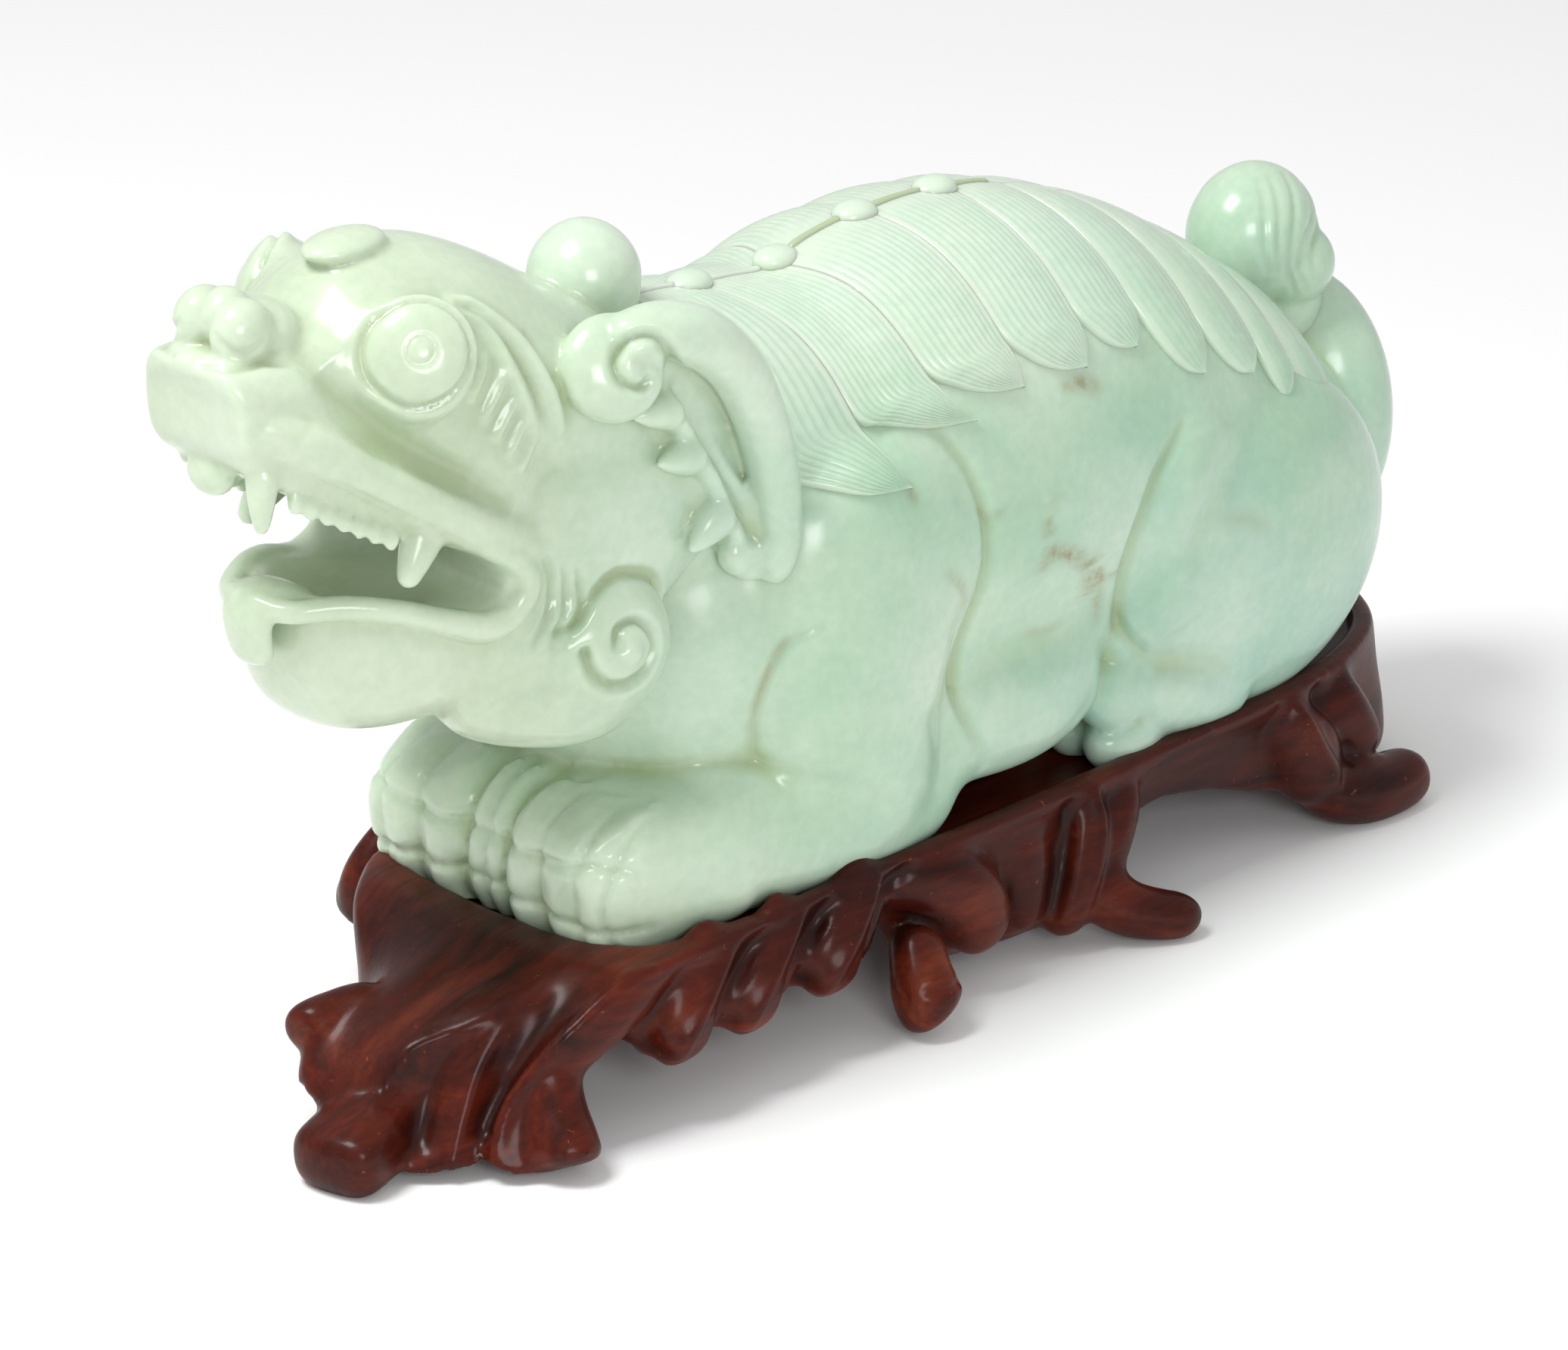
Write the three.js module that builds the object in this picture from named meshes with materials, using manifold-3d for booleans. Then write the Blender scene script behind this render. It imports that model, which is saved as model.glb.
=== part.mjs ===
// A crouching beast carved from one block of pale green hardstone, open-mouthed, with a beaded spine,
// curled ears, folded legs and a rolled tail. It lies in the recess of a carved dark wooden stand.
// Millimetres, +Z up. The head points along -X, and the side shown to the viewer is -Y.
import * as THREE from 'three';
import { mergeVertices } from 'three/addons/utils/BufferGeometryUtils.js';
import Module from 'manifold-3d';

const wasm = await Module();
wasm.setup();

// Which side of the midline a paired form lies on.
const NEAR = -1;
const FAR = 1;
const PAIR = [NEAR, FAR];

// Heights of the stand's rim, of the recess floor, and of the beast's flat underside.
const RIM_TOP = 31;
const RECESS_FLOOR = 26.7;
const BEAST_BASE = 27;
const REST_GAP = 0.3;
const SLAB_BOTTOM = 19;

// Larger than the whole carving, for the cutting blocks.
const BEYOND = 400;

// Sections of the beast on its midline, from the front: [x, z, half width, half height].
const TRUNK_SECTIONS = [
  [-46, 66, 22, 26],
  [-30, 70, 30, 35],
  [-8, 75, 36, 42.5],
  [15, 79.5, 39, 47.5],
  [38, 81, 40, 48.5],
  [62, 79.5, 40, 47.5],
  [88, 74, 40, 44],
  [112, 66, 37, 37.5],
  [132, 58, 31, 30],
  [146, 54, 22, 24],
];
const NECK_SECTIONS = [
  [20, 88, 35, 35],
  [-6, 95, 32, 31],
  [-30, 103, 28, 26],
  [-56, 110, 25, 24],
];
const SKULL_SECTIONS = [
  [-108, 139, 12, 7],
  [-97, 136.5, 17.5, 13],
  [-84, 133, 21, 18.5],
  [-72, 129, 23.5, 22],
  [-60, 124, 25, 22.5],
  [-46, 117, 26, 21],
  [-24, 107, 27, 20],
];
const UPPER_JAW_SECTIONS = [
  [-118, 130.5, 11.5, 10.5],
  [-108, 128.5, 15, 15.5],
  [-96, 126, 18.5, 19.5],
  [-84, 121.5, 21.5, 21],
  [-72, 116, 24.5, 22],
  [-54, 110, 25, 20],
];
const LOWER_JAW_SECTIONS = [
  [-108, 100, 6.5, 6],
  [-104, 95, 10, 12],
  [-98, 92, 14, 16.5],
  [-90, 89, 18, 15.5],
  [-80, 88, 22, 13],
  [-66, 90, 24, 16],
];
const CHEEK_SECTIONS = [
  [-86, 99, 21, 6],
  [-77, 100, 24, 14],
  [-66, 102, 26, 21],
  [-54, 104, 27, 26],
  [-40, 104, 28, 28],
  [-24, 102, 29, 28],
];

// The gape seen from the side, from the upper lip back to the corner and out along the lower lip.
const GAPE_OUTLINE = [
  [-150, 137],
  [-119, 124.5],
  [-107.7, 119.5],
  [-95.1, 112.2],
  [-82.3, 106.3],
  [-75, 102],
  [-73.6, 98.6],
  [-76, 95],
  [-84, 95.9],
  [-92.1, 100.4],
  [-101.7, 103.6],
  [-112, 104],
  [-150, 104],
];

// The far canine is a worn stump set further in than the near one.
const CANINES = {
  [NEAR]: { x: -112.5, across: 12, tip: 114 },
  [FAR]: { x: -107, across: 7, tip: 116 },
};

// The mane's lower edge from the side: the tip of each lock and the notch behind it, as [x, z].
const MANE_START = [-26, 113];
const LOCKS = [
  { tip: [4.6, 97.4], notch: [0, 109] },
  { tip: [24, 103.4], notch: [17, 114] },
  { tip: [36, 106], notch: [35, 116] },
  { tip: [51.6, 105.5], notch: [53, 116] },
  { tip: [65.3, 105.3], notch: [68, 114] },
  { tip: [80.5, 97], notch: [83, 107] },
  { tip: [94.7, 93], notch: [98, 99.5] },
  { tip: [103, 86], notch: [107, 91] },
  { tip: [112, 71], notch: [122, 92] },
];
const MANE_RISE = 2;

// The beads along the spine: [x, height of the bead's centre].
const SPINE_BEADS = [[-9, 127], [11, 127.5], [30, 130.5], [49, 131]];
const BEAD_RADIUS = 4;
const BEAD_GRID = { sides: 6, rings: 4 };

// Toes of one forepaw, from the midline outwards: distance from it and how far forward each reaches.
const TOES = [
  { across: 5, reach: -55 },
  { across: 12.5, reach: -58 },
  { across: 20, reach: -58 },
  { across: 27, reach: -52 },
];

// The stand's rim seen from above. The front runs out further on the near side.
const RIM_OUTLINE = [
  [-75, 11],
  [-61, 25],
  [-40, 36],
  [0, 40],
  [60, 40],
  [108, 38],
  [138, 28],
  [152, 8],
  [152, -10],
  [138, -28],
  [108, -38],
  [60, -40],
  [0, -40],
  [-50, -41],
  [-68, -36],
  [-76, -14],
];
const RIM_WIDTH = 3;

// Landmarks of the skirt's lower edge along the stand: [x, bottom, outward bulge].
const SKIRT_EDGE = [
  [-74, 4, 0],
  [-69, 6, 2],
  [-65, 16, 0],
  [-59, 14, 0],
  [-54.5, 8.5, 3],
  [-49.5, 13.5, -1],
  [-39.5, 8.5, 3],
  [-31.5, 14.5, -1],
  [-20.5, 9.5, 3],
  [-11, 18, 0],
  [3, 17, 0],
  [8, 3, 4],
  [14, 3, 5],
  [19, 4, 1],
  [27, 2, 3],
  [33, 2, 0],
  [44, 1, 2],
  [51, 3, 2],
  [58, 12, 0],
  [68, 16, 0],
  [86, 16, 0],
  [101, 12, 0],
  [108, 9, 1],
  [124, 8, 2],
  [130, 3, 3],
  [140, 3, 6],
  [150, 2, 8],
];
const SKIRT_LEAN = 10;

const jade = new THREE.MeshStandardMaterial({ color: 0xc4d9c0, roughness: 0.3, metalness: 0 });
const rosewood = new THREE.MeshStandardMaterial({ color: 0x5a231a, roughness: 0.35, metalness: 0 });

// A three.js geometry as a solid that can be joined and cut.
function solidOf(geometry) {
  const bare = geometry.clone();
  bare.deleteAttribute('normal');
  bare.deleteAttribute('uv');
  const merged = mergeVertices(bare, 1e-3);
  const triVerts = new Uint32Array(merged.index.array);
  const vertProperties = new Float32Array(merged.attributes.position.array);
  const made = new wasm.Manifold(new wasm.Mesh({ numProp: 3, vertProperties, triVerts }));
  if (made.volume() > 0) return made;
  for (let i = 0; i < triVerts.length; i += 3) {
    [triVerts[i], triVerts[i + 1]] = [triVerts[i + 1], triVerts[i]];
  }
  return new wasm.Manifold(new wasm.Mesh({ numProp: 3, vertProperties, triVerts }));
}

function joined(solids) {
  return solids.reduce((whole, solid) => whole.add(solid));
}

function geometryOf(solid) {
  const { vertProperties, triVerts } = solid.getMesh();
  const geometry = new THREE.BufferGeometry();
  geometry.setAttribute('position', new THREE.BufferAttribute(vertProperties, 3));
  geometry.setIndex(new THREE.BufferAttribute(triVerts, 1));
  geometry.computeVertexNormals();
  return geometry;
}

// How far a rounded end has opened at share t of a path, when the end takes up the share cap.
function opening(t, cap) {
  return t >= cap ? 1 : Math.sqrt(1 - ((cap - t) / cap) ** 2);
}

// A sphere drawn out along a path. Each station is [x, y, z, half width, half height]. An upright form
// keeps its sections in the YZ plane; any other has them square to its path, with the width along
// `level`. A square above 2 gives flatter sides and squarer corners.
function drawnForm(stations, options = {}) {
  const { sides = 16, rings = 12, caps = [0.12, 0.12], square = 2, level = [0, 1, 0], upright = false } = options;
  const path = new THREE.CatmullRomCurve3(stations.map(([x, y, z]) => new THREE.Vector3(x, y, z)));
  const girth = new THREE.CatmullRomCurve3(stations.map((s) => new THREE.Vector3(s[3], s[4], 0)));
  const geometry = new THREE.SphereGeometry(1, sides, rings);
  const position = geometry.attributes.position;
  const uv = geometry.attributes.uv;
  const wanted = new THREE.Vector3(...level);
  for (let i = 0; i < position.count; i += 1) {
    const t = (1 - Math.cos(Math.PI * (1 - uv.getY(i)))) / 2;
    const turn = Math.round(uv.getX(i) * sides) * (2 * Math.PI / sides);
    const centre = path.getPoint(t);
    const along = upright ? new THREE.Vector3(1, 0, 0) : path.getTangent(t);
    const size = girth.getPoint(t);
    const open = opening(t, caps[0]) * opening(1 - t, caps[1]);
    const across = wanted.clone().addScaledVector(along, -along.dot(wanted)).normalize();
    const up = across.clone().cross(along);
    const c = Math.cos(turn);
    const s = Math.sin(turn);
    const wide = Math.sign(c) * Math.abs(c) ** (2 / square) * size.x * open;
    const tall = Math.sign(s) * Math.abs(s) ** (2 / square) * size.y * open;
    centre.addScaledVector(across, wide).addScaledVector(up, tall);
    position.setXYZ(i, centre.x, centre.y, centre.z);
  }
  return solidOf(geometry);
}

// A form on the midline, from sections [x, z, half width, half height], raised all over by `rise`.
function midlineForm(sections, options, rise = 0) {
  const stations = sections.map(([x, z, w, h]) => [x, 0, z, w + rise, h + rise]);
  return drawnForm(stations, { upright: true, ...options });
}

// An ellipsoid. facing is the direction that its first radius points along.
function egg([x, y, z], [rx, ry, rz], { sides = 14, rings = 8, facing = [1, 0, 0] } = {}) {
  const geometry = new THREE.SphereGeometry(1, sides, rings);
  const ahead = new THREE.Vector3(...facing).normalize();
  const across = new THREE.Vector3(0, 0, 1).cross(ahead).normalize();
  const up = ahead.clone().cross(across);
  const turn = new THREE.Matrix4().makeBasis(ahead, across, up);
  geometry.scale(rx, ry, rz).applyMatrix4(turn).translate(x, y, z);
  return solidOf(geometry);
}

function block([x0, y0, z0], [x1, y1, z1]) {
  const geometry = new THREE.BoxGeometry(x1 - x0, y1 - y0, z1 - z0);
  geometry.translate((x0 + x1) / 2, (y0 + y1) / 2, (z0 + z1) / 2);
  return solidOf(geometry);
}

// A plate whose shape is drawn in the XZ plane, centred on Y = 0.
function sidePlate(shape, thickness, curveSegments = 3) {
  const geometry = new THREE.ExtrudeGeometry(shape, { depth: thickness, bevelEnabled: false, curveSegments });
  geometry.translate(0, 0, -thickness / 2);
  geometry.rotateX(Math.PI / 2);
  return solidOf(geometry);
}

// A closed curve through points seen from above, listed clockwise.
function smoothLoop(outline) {
  return new THREE.CatmullRomCurve3(outline.map(([x, y]) => new THREE.Vector3(x, y, 0)), true);
}

// A slab inside such a curve, drawn in by `inset`.
function slab(outline, bottom, top, { inset = 0, points = 48 } = {}) {
  const curve = smoothLoop(outline);
  const edge = Array.from({ length: points }, (_, i) => {
    const at = curve.getPointAt(i / points);
    const along = curve.getTangentAt(i / points);
    return new THREE.Vector2(at.x + along.y * inset, at.y - along.x * inset);
  });
  const geometry = new THREE.ExtrudeGeometry(new THREE.Shape(edge), { depth: top - bottom, bevelEnabled: false });
  geometry.translate(0, 0, bottom);
  return solidOf(geometry);
}

function trunk(rise = 0) {
  return midlineForm(TRUNK_SECTIONS, { sides: 16, rings: 10, caps: [0.1, 0.1] }, rise);
}

function neck(rise = 0) {
  return midlineForm(NECK_SECTIONS, { sides: 12, rings: 5, caps: [0.2, 0.2] }, rise);
}

// The shoulder, folded foreleg and paw of one side.
function foreleg(side) {
  const shoulder = drawnForm([
    [2, side * 27, 106, 8, 13],
    [0, side * 29, 90, 12, 21],
    [-3, side * 30, 68, 12.5, 21],
    [-2, side * 30, 50, 12, 19],
    [4, side * 29, 30, 10, 19],
  ], { sides: 10, rings: 6, caps: [0.18, 0.12] });
  const elbow = egg([12, side * 29.5, 39], [12, 8.5, 13], { sides: 8, rings: 5 });
  const forearm = drawnForm([
    [18, side * 28, 38, 10, 12],
    [-4, side * 27, 39, 11.5, 13],
    [-26, side * 23, 40, 14, 14],
    [-42, side * 19, 42, 15, 14],
  ], { sides: 8, rings: 5, caps: [0.15, 0.2] });
  const tuft = drawnForm([
    [-9, side * 22, 78, 2, 2],
    [-14, side * 25, 68, 6, 5],
    [-15, side * 25, 56, 6, 5],
    [-11, side * 24, 44, 3, 3],
  ], { sides: 6, rings: 5 });
  const toes = TOES.map(({ across, reach }) => drawnForm([
    [-38, side * (across * 0.9 + 2), 49, 4.2, 5],
    [-46, side * across, 49.5, 4.6, 5.5],
    [reach + 4, side * across, 44, 4.8, 6],
    [reach + 1, side * across, 36, 4.7, 5.5],
    [reach + 2, side * across, 29, 4.2, 4.5],
  ], { sides: 6, rings: 5, caps: [0.15, 0.12] }));
  return joined([shoulder, elbow, forearm, tuft, ...toes]);
}

function hindLeg(side) {
  const haunch = egg([96, side * 28, 60], [40, 15, 33], { sides: 12, rings: 7, facing: [1, 0, -0.2] });
  const foot = drawnForm([
    [94, side * 28, 36, 11, 10],
    [76, side * 29, 38, 9, 10],
    [65, side * 30, 38.5, 8.5, 9],
    [59, side * 30, 35, 8, 7],
  ], { sides: 8, rings: 5 });
  return joined([haunch, foot]);
}

// The outer ear: a rolled rim that starts in a scroll, with a lobed inner flap on the near side.
function ear(side) {
  const scroll = egg([-53, side * 27, 131], [4.5, 9, 9], { sides: 8, rings: 5, facing: [-0.35, side * 0.85, 0.4] });
  const rim = drawnForm([
    [-53, side * 27, 135, 4, 4],
    [-40, side * 30, 135.6, 4.5, 4.5],
    [-30, side * 32, 127.5, 4.5, 4.5],
    [-24, side * 32.5, 114.5, 4.2, 4.2],
    [-20.5, side * 32, 101.6, 4.2, 4.2],
    [-20, side * 31, 92.5, 4.2, 4.2],
    [-24, side * 28.5, 86, 4, 4],
  ], { sides: 5, rings: 8 });
  const flap = drawnForm([
    [-44, side * 25, 124, 3.5, 6],
    [-34, side * 26, 114, 3.5, 9],
    [-27, side * 27, 102, 4.5, 9],
    [-23, side * 27, 92, 4.5, 7],
  ], { sides: 6, rings: 5 });
  const lobes = [[-43, 118], [-38, 108], [-32, 98]].map(([x, z]) =>
    egg([x, side * 27, z], [5.5, 4.5, 5.5], { sides: 5, rings: 4 }));
  return joined(side === NEAR ? [scroll, rim, flap, ...lobes] : [scroll, rim]);
}

// Teeth: the canines at the front, a row of small ones behind them, and a hooked fang near the corner.
function teeth(side) {
  const { x, across, tip } = CANINES[side];
  const canine = drawnForm([
    [x - 0.5, side * (across - 0.5), 126, 3, 3],
    [x - 0.5, side * across, (126 + tip) / 2, 2.2, 2.4],
    [x, side * across, tip, 1, 1],
  ], { sides: 5, rings: 4 });
  const fang = drawnForm([
    [-88.5, side * 16.5, 113, 3.4, 4],
    [-91, side * 18, 106, 2.8, 3.4],
    [-92.5, side * 19, 100, 1.6, 1.8],
  ], { sides: 6, rings: 4 });
  const row = [0, 1, 2, 3].map((n) =>
    egg([-108.3 + n * 4.2, side * (12.5 + n * 1.1), 119.5 - n * 2.4], [2.1, 1.6, 2.6], { sides: 4, rings: 3 }));
  return joined([canine, fang, ...row]);
}

function head() {
  const skull = midlineForm(SKULL_SECTIONS, { sides: 12, rings: 8 });
  const upperJaw = midlineForm(UPPER_JAW_SECTIONS, { sides: 12, rings: 7, square: 3, caps: [0.04, 0.2] });
  const lowerJaw = midlineForm(LOWER_JAW_SECTIONS, { sides: 10, rings: 7, square: 2.4, caps: [0.1, 0.2] });
  const cheeks = midlineForm(CHEEK_SECTIONS, { sides: 12, rings: 5, square: 2.3, caps: [0.08, 0.2] });
  const gape = sidePlate(new THREE.Shape(GAPE_OUTLINE.map(([x, z]) => new THREE.Vector2(x, z))), 90);
  const throat = egg([-84, 0, 102], [16, 19, 11], { sides: 8, rings: 5 });
  const tongue = drawnForm([
    [-92, 0, 96, 8, 4],
    [-101, 0, 101, 7, 3.5],
    [-106, 0, 97, 6, 3],
    [-105.5, 0, 87, 5, 3],
  ], { sides: 6, rings: 6 });
  const nostrils = PAIR.map((side) => egg([-111, side * 6.5, 145], [4.5, 4.5, 4.5], { sides: 6, rings: 5 }));
  const noseTip = egg([-108.5, 0, 147.5], [5, 4, 5], { sides: 6, rings: 5 });
  const bosses = [
    egg([-98.5, 0, 149], [4.5, 6.5, 6], { sides: 8, rings: 5, facing: [-0.65, 0, 0.75] }),
    egg([-85, 0, 151], [7.5, 6.5, 3.2], { sides: 8, rings: 5 }),
  ];
  const knob = drawnForm([
    [-32, 0, 112, 8, 8],
    [-33, 0, 124, 8.4, 8.4],
    [-33.5, 0, 136, 9.4, 9.4],
    [-33.5, 0, 146, 9.2, 9.2],
  ], { sides: 10, rings: 6, caps: [0.1, 0.3] });
  const sidedForms = PAIR.flatMap((side) => [
    egg([-87.5, side * 19, 141], [4, 8.5, 8.5], { sides: 10, rings: 5, facing: [-0.55, side * 0.72, 0.42] }),
    drawnForm([
      [-88, side * 13, 148, 2, 2],
      [-80, side * 16, 149, 2.5, 2.5],
      [-73, side * 20, 145, 3, 3],
      [-67, side * 22.5, 136, 3, 3],
      [-62, side * 24, 123, 1.5, 1.5],
    ], { sides: 5, rings: 6 }),
    egg([-53, side * 26, 81.5], [6, 12.5, 11.5], { sides: 10, rings: 5, facing: [0, 1, 0] }),
    drawnForm([
      [-46, side * 27, 76, 4, 6],
      [-56, side * 23, 72, 6, 7],
      [-68, side * 17, 74, 8, 8],
      [-78, side * 13, 78, 8, 7],
    ], { sides: 8, rings: 5 }),
    ear(side),
    teeth(side),
  ]);
  return joined([skull, upperJaw, lowerJaw, cheeks])
    .subtract(gape)
    .subtract(throat)
    .add(joined([tongue, noseTip, ...nostrils, knob, ...bosses, ...sidedForms]));
}

function tail() {
  const knob = egg([134.5, 0, 101], [13, 11.5, 13.5], { sides: 12, rings: 6 });
  const plume = egg([148, 0, 64], [13.5, 20, 27], { sides: 10, rings: 6 });
  return joined([knob, plume]);
}

// The mane stands proud of the back and ends below in pointed locks.
function mane() {
  const shape = new THREE.Shape();
  shape.moveTo(...MANE_START);
  let [fromX, fromZ] = MANE_START;
  LOCKS.forEach(({ tip: [tipX, tipZ], notch: [notchX, notchZ] }) => {
    shape.quadraticCurveTo(fromX + (tipX - fromX) * 0.35, tipZ + (fromZ - tipZ) * 0.12, tipX, tipZ);
    shape.quadraticCurveTo(notchX + 1, tipZ + (notchZ - tipZ) * 0.5, notchX, notchZ);
    [fromX, fromZ] = [notchX, notchZ];
  });
  shape.lineTo(132, 150);
  shape.lineTo(-26, 150);
  const raised = joined([trunk(MANE_RISE), neck(MANE_RISE)]);
  return raised.intersect(sidePlate(shape, 2 * BEYOND));
}

function beast() {
  const legs = PAIR.flatMap((side) => [foreleg(side), hindLeg(side)]);
  const beads = SPINE_BEADS.map(([x, z]) => egg([x, 0, z], [BEAD_RADIUS, BEAD_RADIUS, BEAD_RADIUS], BEAD_GRID));
  const below = block([-BEYOND, -BEYOND, -BEYOND], [BEYOND, BEYOND, RIM_TOP + REST_GAP]);
  const inRecess = slab(RIM_OUTLINE, BEAST_BASE, BEYOND, { inset: RIM_WIDTH + 2 * REST_GAP, points: 20 });
  return joined([trunk(), neck(), mane(), head(), tail(), ...legs, ...beads]).subtract(below.subtract(inRecess));
}

// Where along the rim the stand has a section: at each landmark of its lower edge on both sides, and
// at the two ends. The side is told from the long axis of the outline.
const OUTLINE_AXIS = -10;
const END_SHARES = [0, 0.02, 0.46, 0.48, 0.5, 0.96, 0.98];
function sectionShares(rim) {
  const steps = 2000;
  const places = Array.from({ length: steps }, (_, i) => rim.getPointAt(i / steps));
  const nearest = (wantedX, side) => {
    let best = -1;
    places.forEach((place, i) => {
      const onSide = (place.y - OUTLINE_AXIS) * side > 0;
      if (onSide && (best < 0 || Math.abs(place.x - wantedX) < Math.abs(places[best].x - wantedX))) best = i;
    });
    return best / steps;
  };
  const beside = SKIRT_EDGE.flatMap(([x]) => PAIR.map((side) => nearest(x, side)));
  return [...new Set([...beside, ...END_SHARES])].sort((a, b) => a - b);
}

// The recessed floor, the rim and the skirt that hangs from it in lobes that lean towards the front.
// Each row is one line round the stand, from under the floor out, up and over the rim to its top.
function shell() {
  const rim = smoothLoop(RIM_OUTLINE);
  const length = rim.getLength();
  const shares = sectionShares(rim);
  const around = shares.length;
  const rows = 8;
  const geometry = new THREE.SphereGeometry(1, around, rows);
  const position = geometry.attributes.position;
  const uv = geometry.attributes.uv;
  for (let i = 0; i < position.count; i += 1) {
    const share = shares[Math.round(uv.getX(i) * around) % around];
    const row = Math.round((1 - uv.getY(i)) * rows);
    if (row === 0 || row === rows) {
      position.setXYZ(i, 30, 0, row === 0 ? SLAB_BOTTOM : RECESS_FLOOR);
      continue;
    }
    const { bottom, bulge } = skirtEdge(rim.getPointAt(share).x);
    const hang = RIM_TOP - bottom;
    const { out, z, lean } = [
      { out: -RIM_WIDTH - 0.5, z: SLAB_BOTTOM, lean: 0.5 },
      { out: bulge - 3, z: bottom, lean: 0 },
      { out: bulge, z: bottom + 0.15 * hang, lean: 0.15 },
      { out: 0.5 * bulge, z: bottom + 0.55 * hang, lean: 0.55 },
      { out: 0, z: RIM_TOP, lean: 1 },
      { out: -RIM_WIDTH, z: RIM_TOP, lean: 1 },
      { out: -RIM_WIDTH, z: RECESS_FLOOR, lean: 1 },
    ][row - 1];
    const shift = SKIRT_LEAN * lean * rim.getTangentAt(share).x;
    const moved = (share + shift / length + 1) % 1;
    const at = rim.getPointAt(moved);
    const along = rim.getTangentAt(moved);
    position.setXYZ(i, at.x - along.y * out, at.y + along.x * out, z);
  }
  return solidOf(geometry);
}

// Bottom height and outward bulge of the skirt at one x, between the landmarks of its lower edge.
function skirtEdge(x) {
  const last = SKIRT_EDGE.length - 1;
  if (x <= SKIRT_EDGE[0][0]) return { bottom: SKIRT_EDGE[0][1], bulge: SKIRT_EDGE[0][2] };
  if (x >= SKIRT_EDGE[last][0]) return { bottom: SKIRT_EDGE[last][1], bulge: SKIRT_EDGE[last][2] };
  const after = SKIRT_EDGE.findIndex(([edgeX]) => edgeX > x);
  const [x0, bottom0, bulge0] = SKIRT_EDGE[after - 1];
  const [x1, bottom1, bulge1] = SKIRT_EDGE[after];
  const share = (x - x0) / (x1 - x0);
  return { bottom: bottom0 + (bottom1 - bottom0) * share, bulge: bulge0 + (bulge1 - bulge0) * share };
}

// Turned-out feet and the swelling lobes between them, on one side.
function standFeet(side) {
  const legs = [
    [[10, 38, 22, 6, 6], [9, 41, 14, 5, 6], [7, 46, 6, 5, 6], [5, 48, 0, 5, 6]],
    [[47, 39, 18, 5, 6], [50, 43, 7, 5, 6], [58, 48, 3, 5, 5], [70, 50, 2.5, 4, 4]],
    [[106, 34, 18, 6, 5], [112, 36, 9, 6, 5], [126, 39, 4, 6, 5.5], [139, 38, 4, 5, 5]],
  ].map((stations) => drawnForm(
    stations.map(([x, out, z, w, h]) => [x, side * out, z, w, h]),
    { sides: 6, rings: 4 },
  ));
  const shells = [
    egg([23, side * 37, 12], [10, 7, 13], { sides: 7, rings: 4 }),
    egg([114, side * 34, 17], [13, 7, 8], { sides: 7, rings: 4 }),
  ];
  const frontLeg = side === NEAR
    ? [[-70, -33, 22, 7, 7], [-74, -36, 13, 6, 6], [-77, -39, 6, 5, 5], [-79, -41, 0, 5, 6]]
    : [[-42, 33, 22, 7, 7], [-43, 36, 13, 6, 7], [-44, 38, 6, 6, 6], [-44, 39, 0, 5, 6]];
  const front = drawnForm(frontLeg, { sides: 6, rings: 5 });
  return joined([...legs, ...shells, front]);
}

// The stand's front falls away in a folded apron with a knot and a foot at its foremost point.
function apron() {
  const fall = drawnForm([
    [-58, -8, 24, 30, 6],
    [-76, -10, 21, 27, 8],
    [-90, -14, 14, 22, 9],
    [-98, -17, 5, 16, 6],
  ], { sides: 9, rings: 6, square: 2.6, caps: [0.1, 0.15] });
  const farWall = drawnForm([
    [-66, 13, 24, 5, 8],
    [-70, 12, 14, 5, 9],
    [-73, 9, 4, 4, 8],
  ], { sides: 6, rings: 4, square: 3 });
  const folds = [
    [[-66, -36, 28], [-72, -32, 20], [-80, -31, 11], [-88, -31, 3]],
    [[-72, -12, 27], [-84, -18, 20], [-92, -24, 12], [-96, -26, 3]],
    [[-76, 6, 26], [-92, 2, 20], [-101, -6, 13], [-103, -14, 4]],
  ].map((path) => drawnForm(path.map(([x, y, z]) => [x, y, z, 5, 4]), { sides: 5, rings: 5 }));
  const knot = joined([
    egg([-95, 2, 20], [6, 6, 5], { sides: 7, rings: 5 }),
    egg([-99, -3, 21], [4, 4, 3.6], { sides: 6, rings: 4 }),
  ]);
  const foot = drawnForm([
    [-98, -12, 7, 7, 6],
    [-105, -15, 4, 7, 5],
    [-111, -17, 1.5, 7, 4.5],
  ], { sides: 8, rings: 5 });
  return joined([fall, farWall, ...folds, knot, foot]);
}

function stand() {
  const above = slab(RIM_OUTLINE, RECESS_FLOOR - 1, BEYOND, { inset: RIM_WIDTH - 1, points: 24 });
  const below = block([-BEYOND, -BEYOND, -BEYOND], [BEYOND, BEYOND, 0]);
  const carved = joined([apron(), ...PAIR.map(standFeet)]).subtract(above);
  return shell().add(carved).subtract(below);
}

function named(name, solid, material) {
  const mesh = new THREE.Mesh(geometryOf(solid), material);
  mesh.name = name;
  return mesh;
}

const carving = new THREE.Group();
carving.add(named('hardstone_beast', beast(), jade));
carving.add(named('carved_wood_stand', stand(), rosewood));

// The origin lies under the middle of the carving, on the surface that the stand's feet stand on.
const extent = new THREE.Box3().setFromObject(carving);
const middle = extent.getCenter(new THREE.Vector3());
carving.position.set(-middle.x, -middle.y, -extent.min.z);
export default carving;
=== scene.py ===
import bpy
import bmesh
import math
import numpy as np
from mathutils import Matrix, Vector
from mathutils.bvhtree import BVHTree


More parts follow.
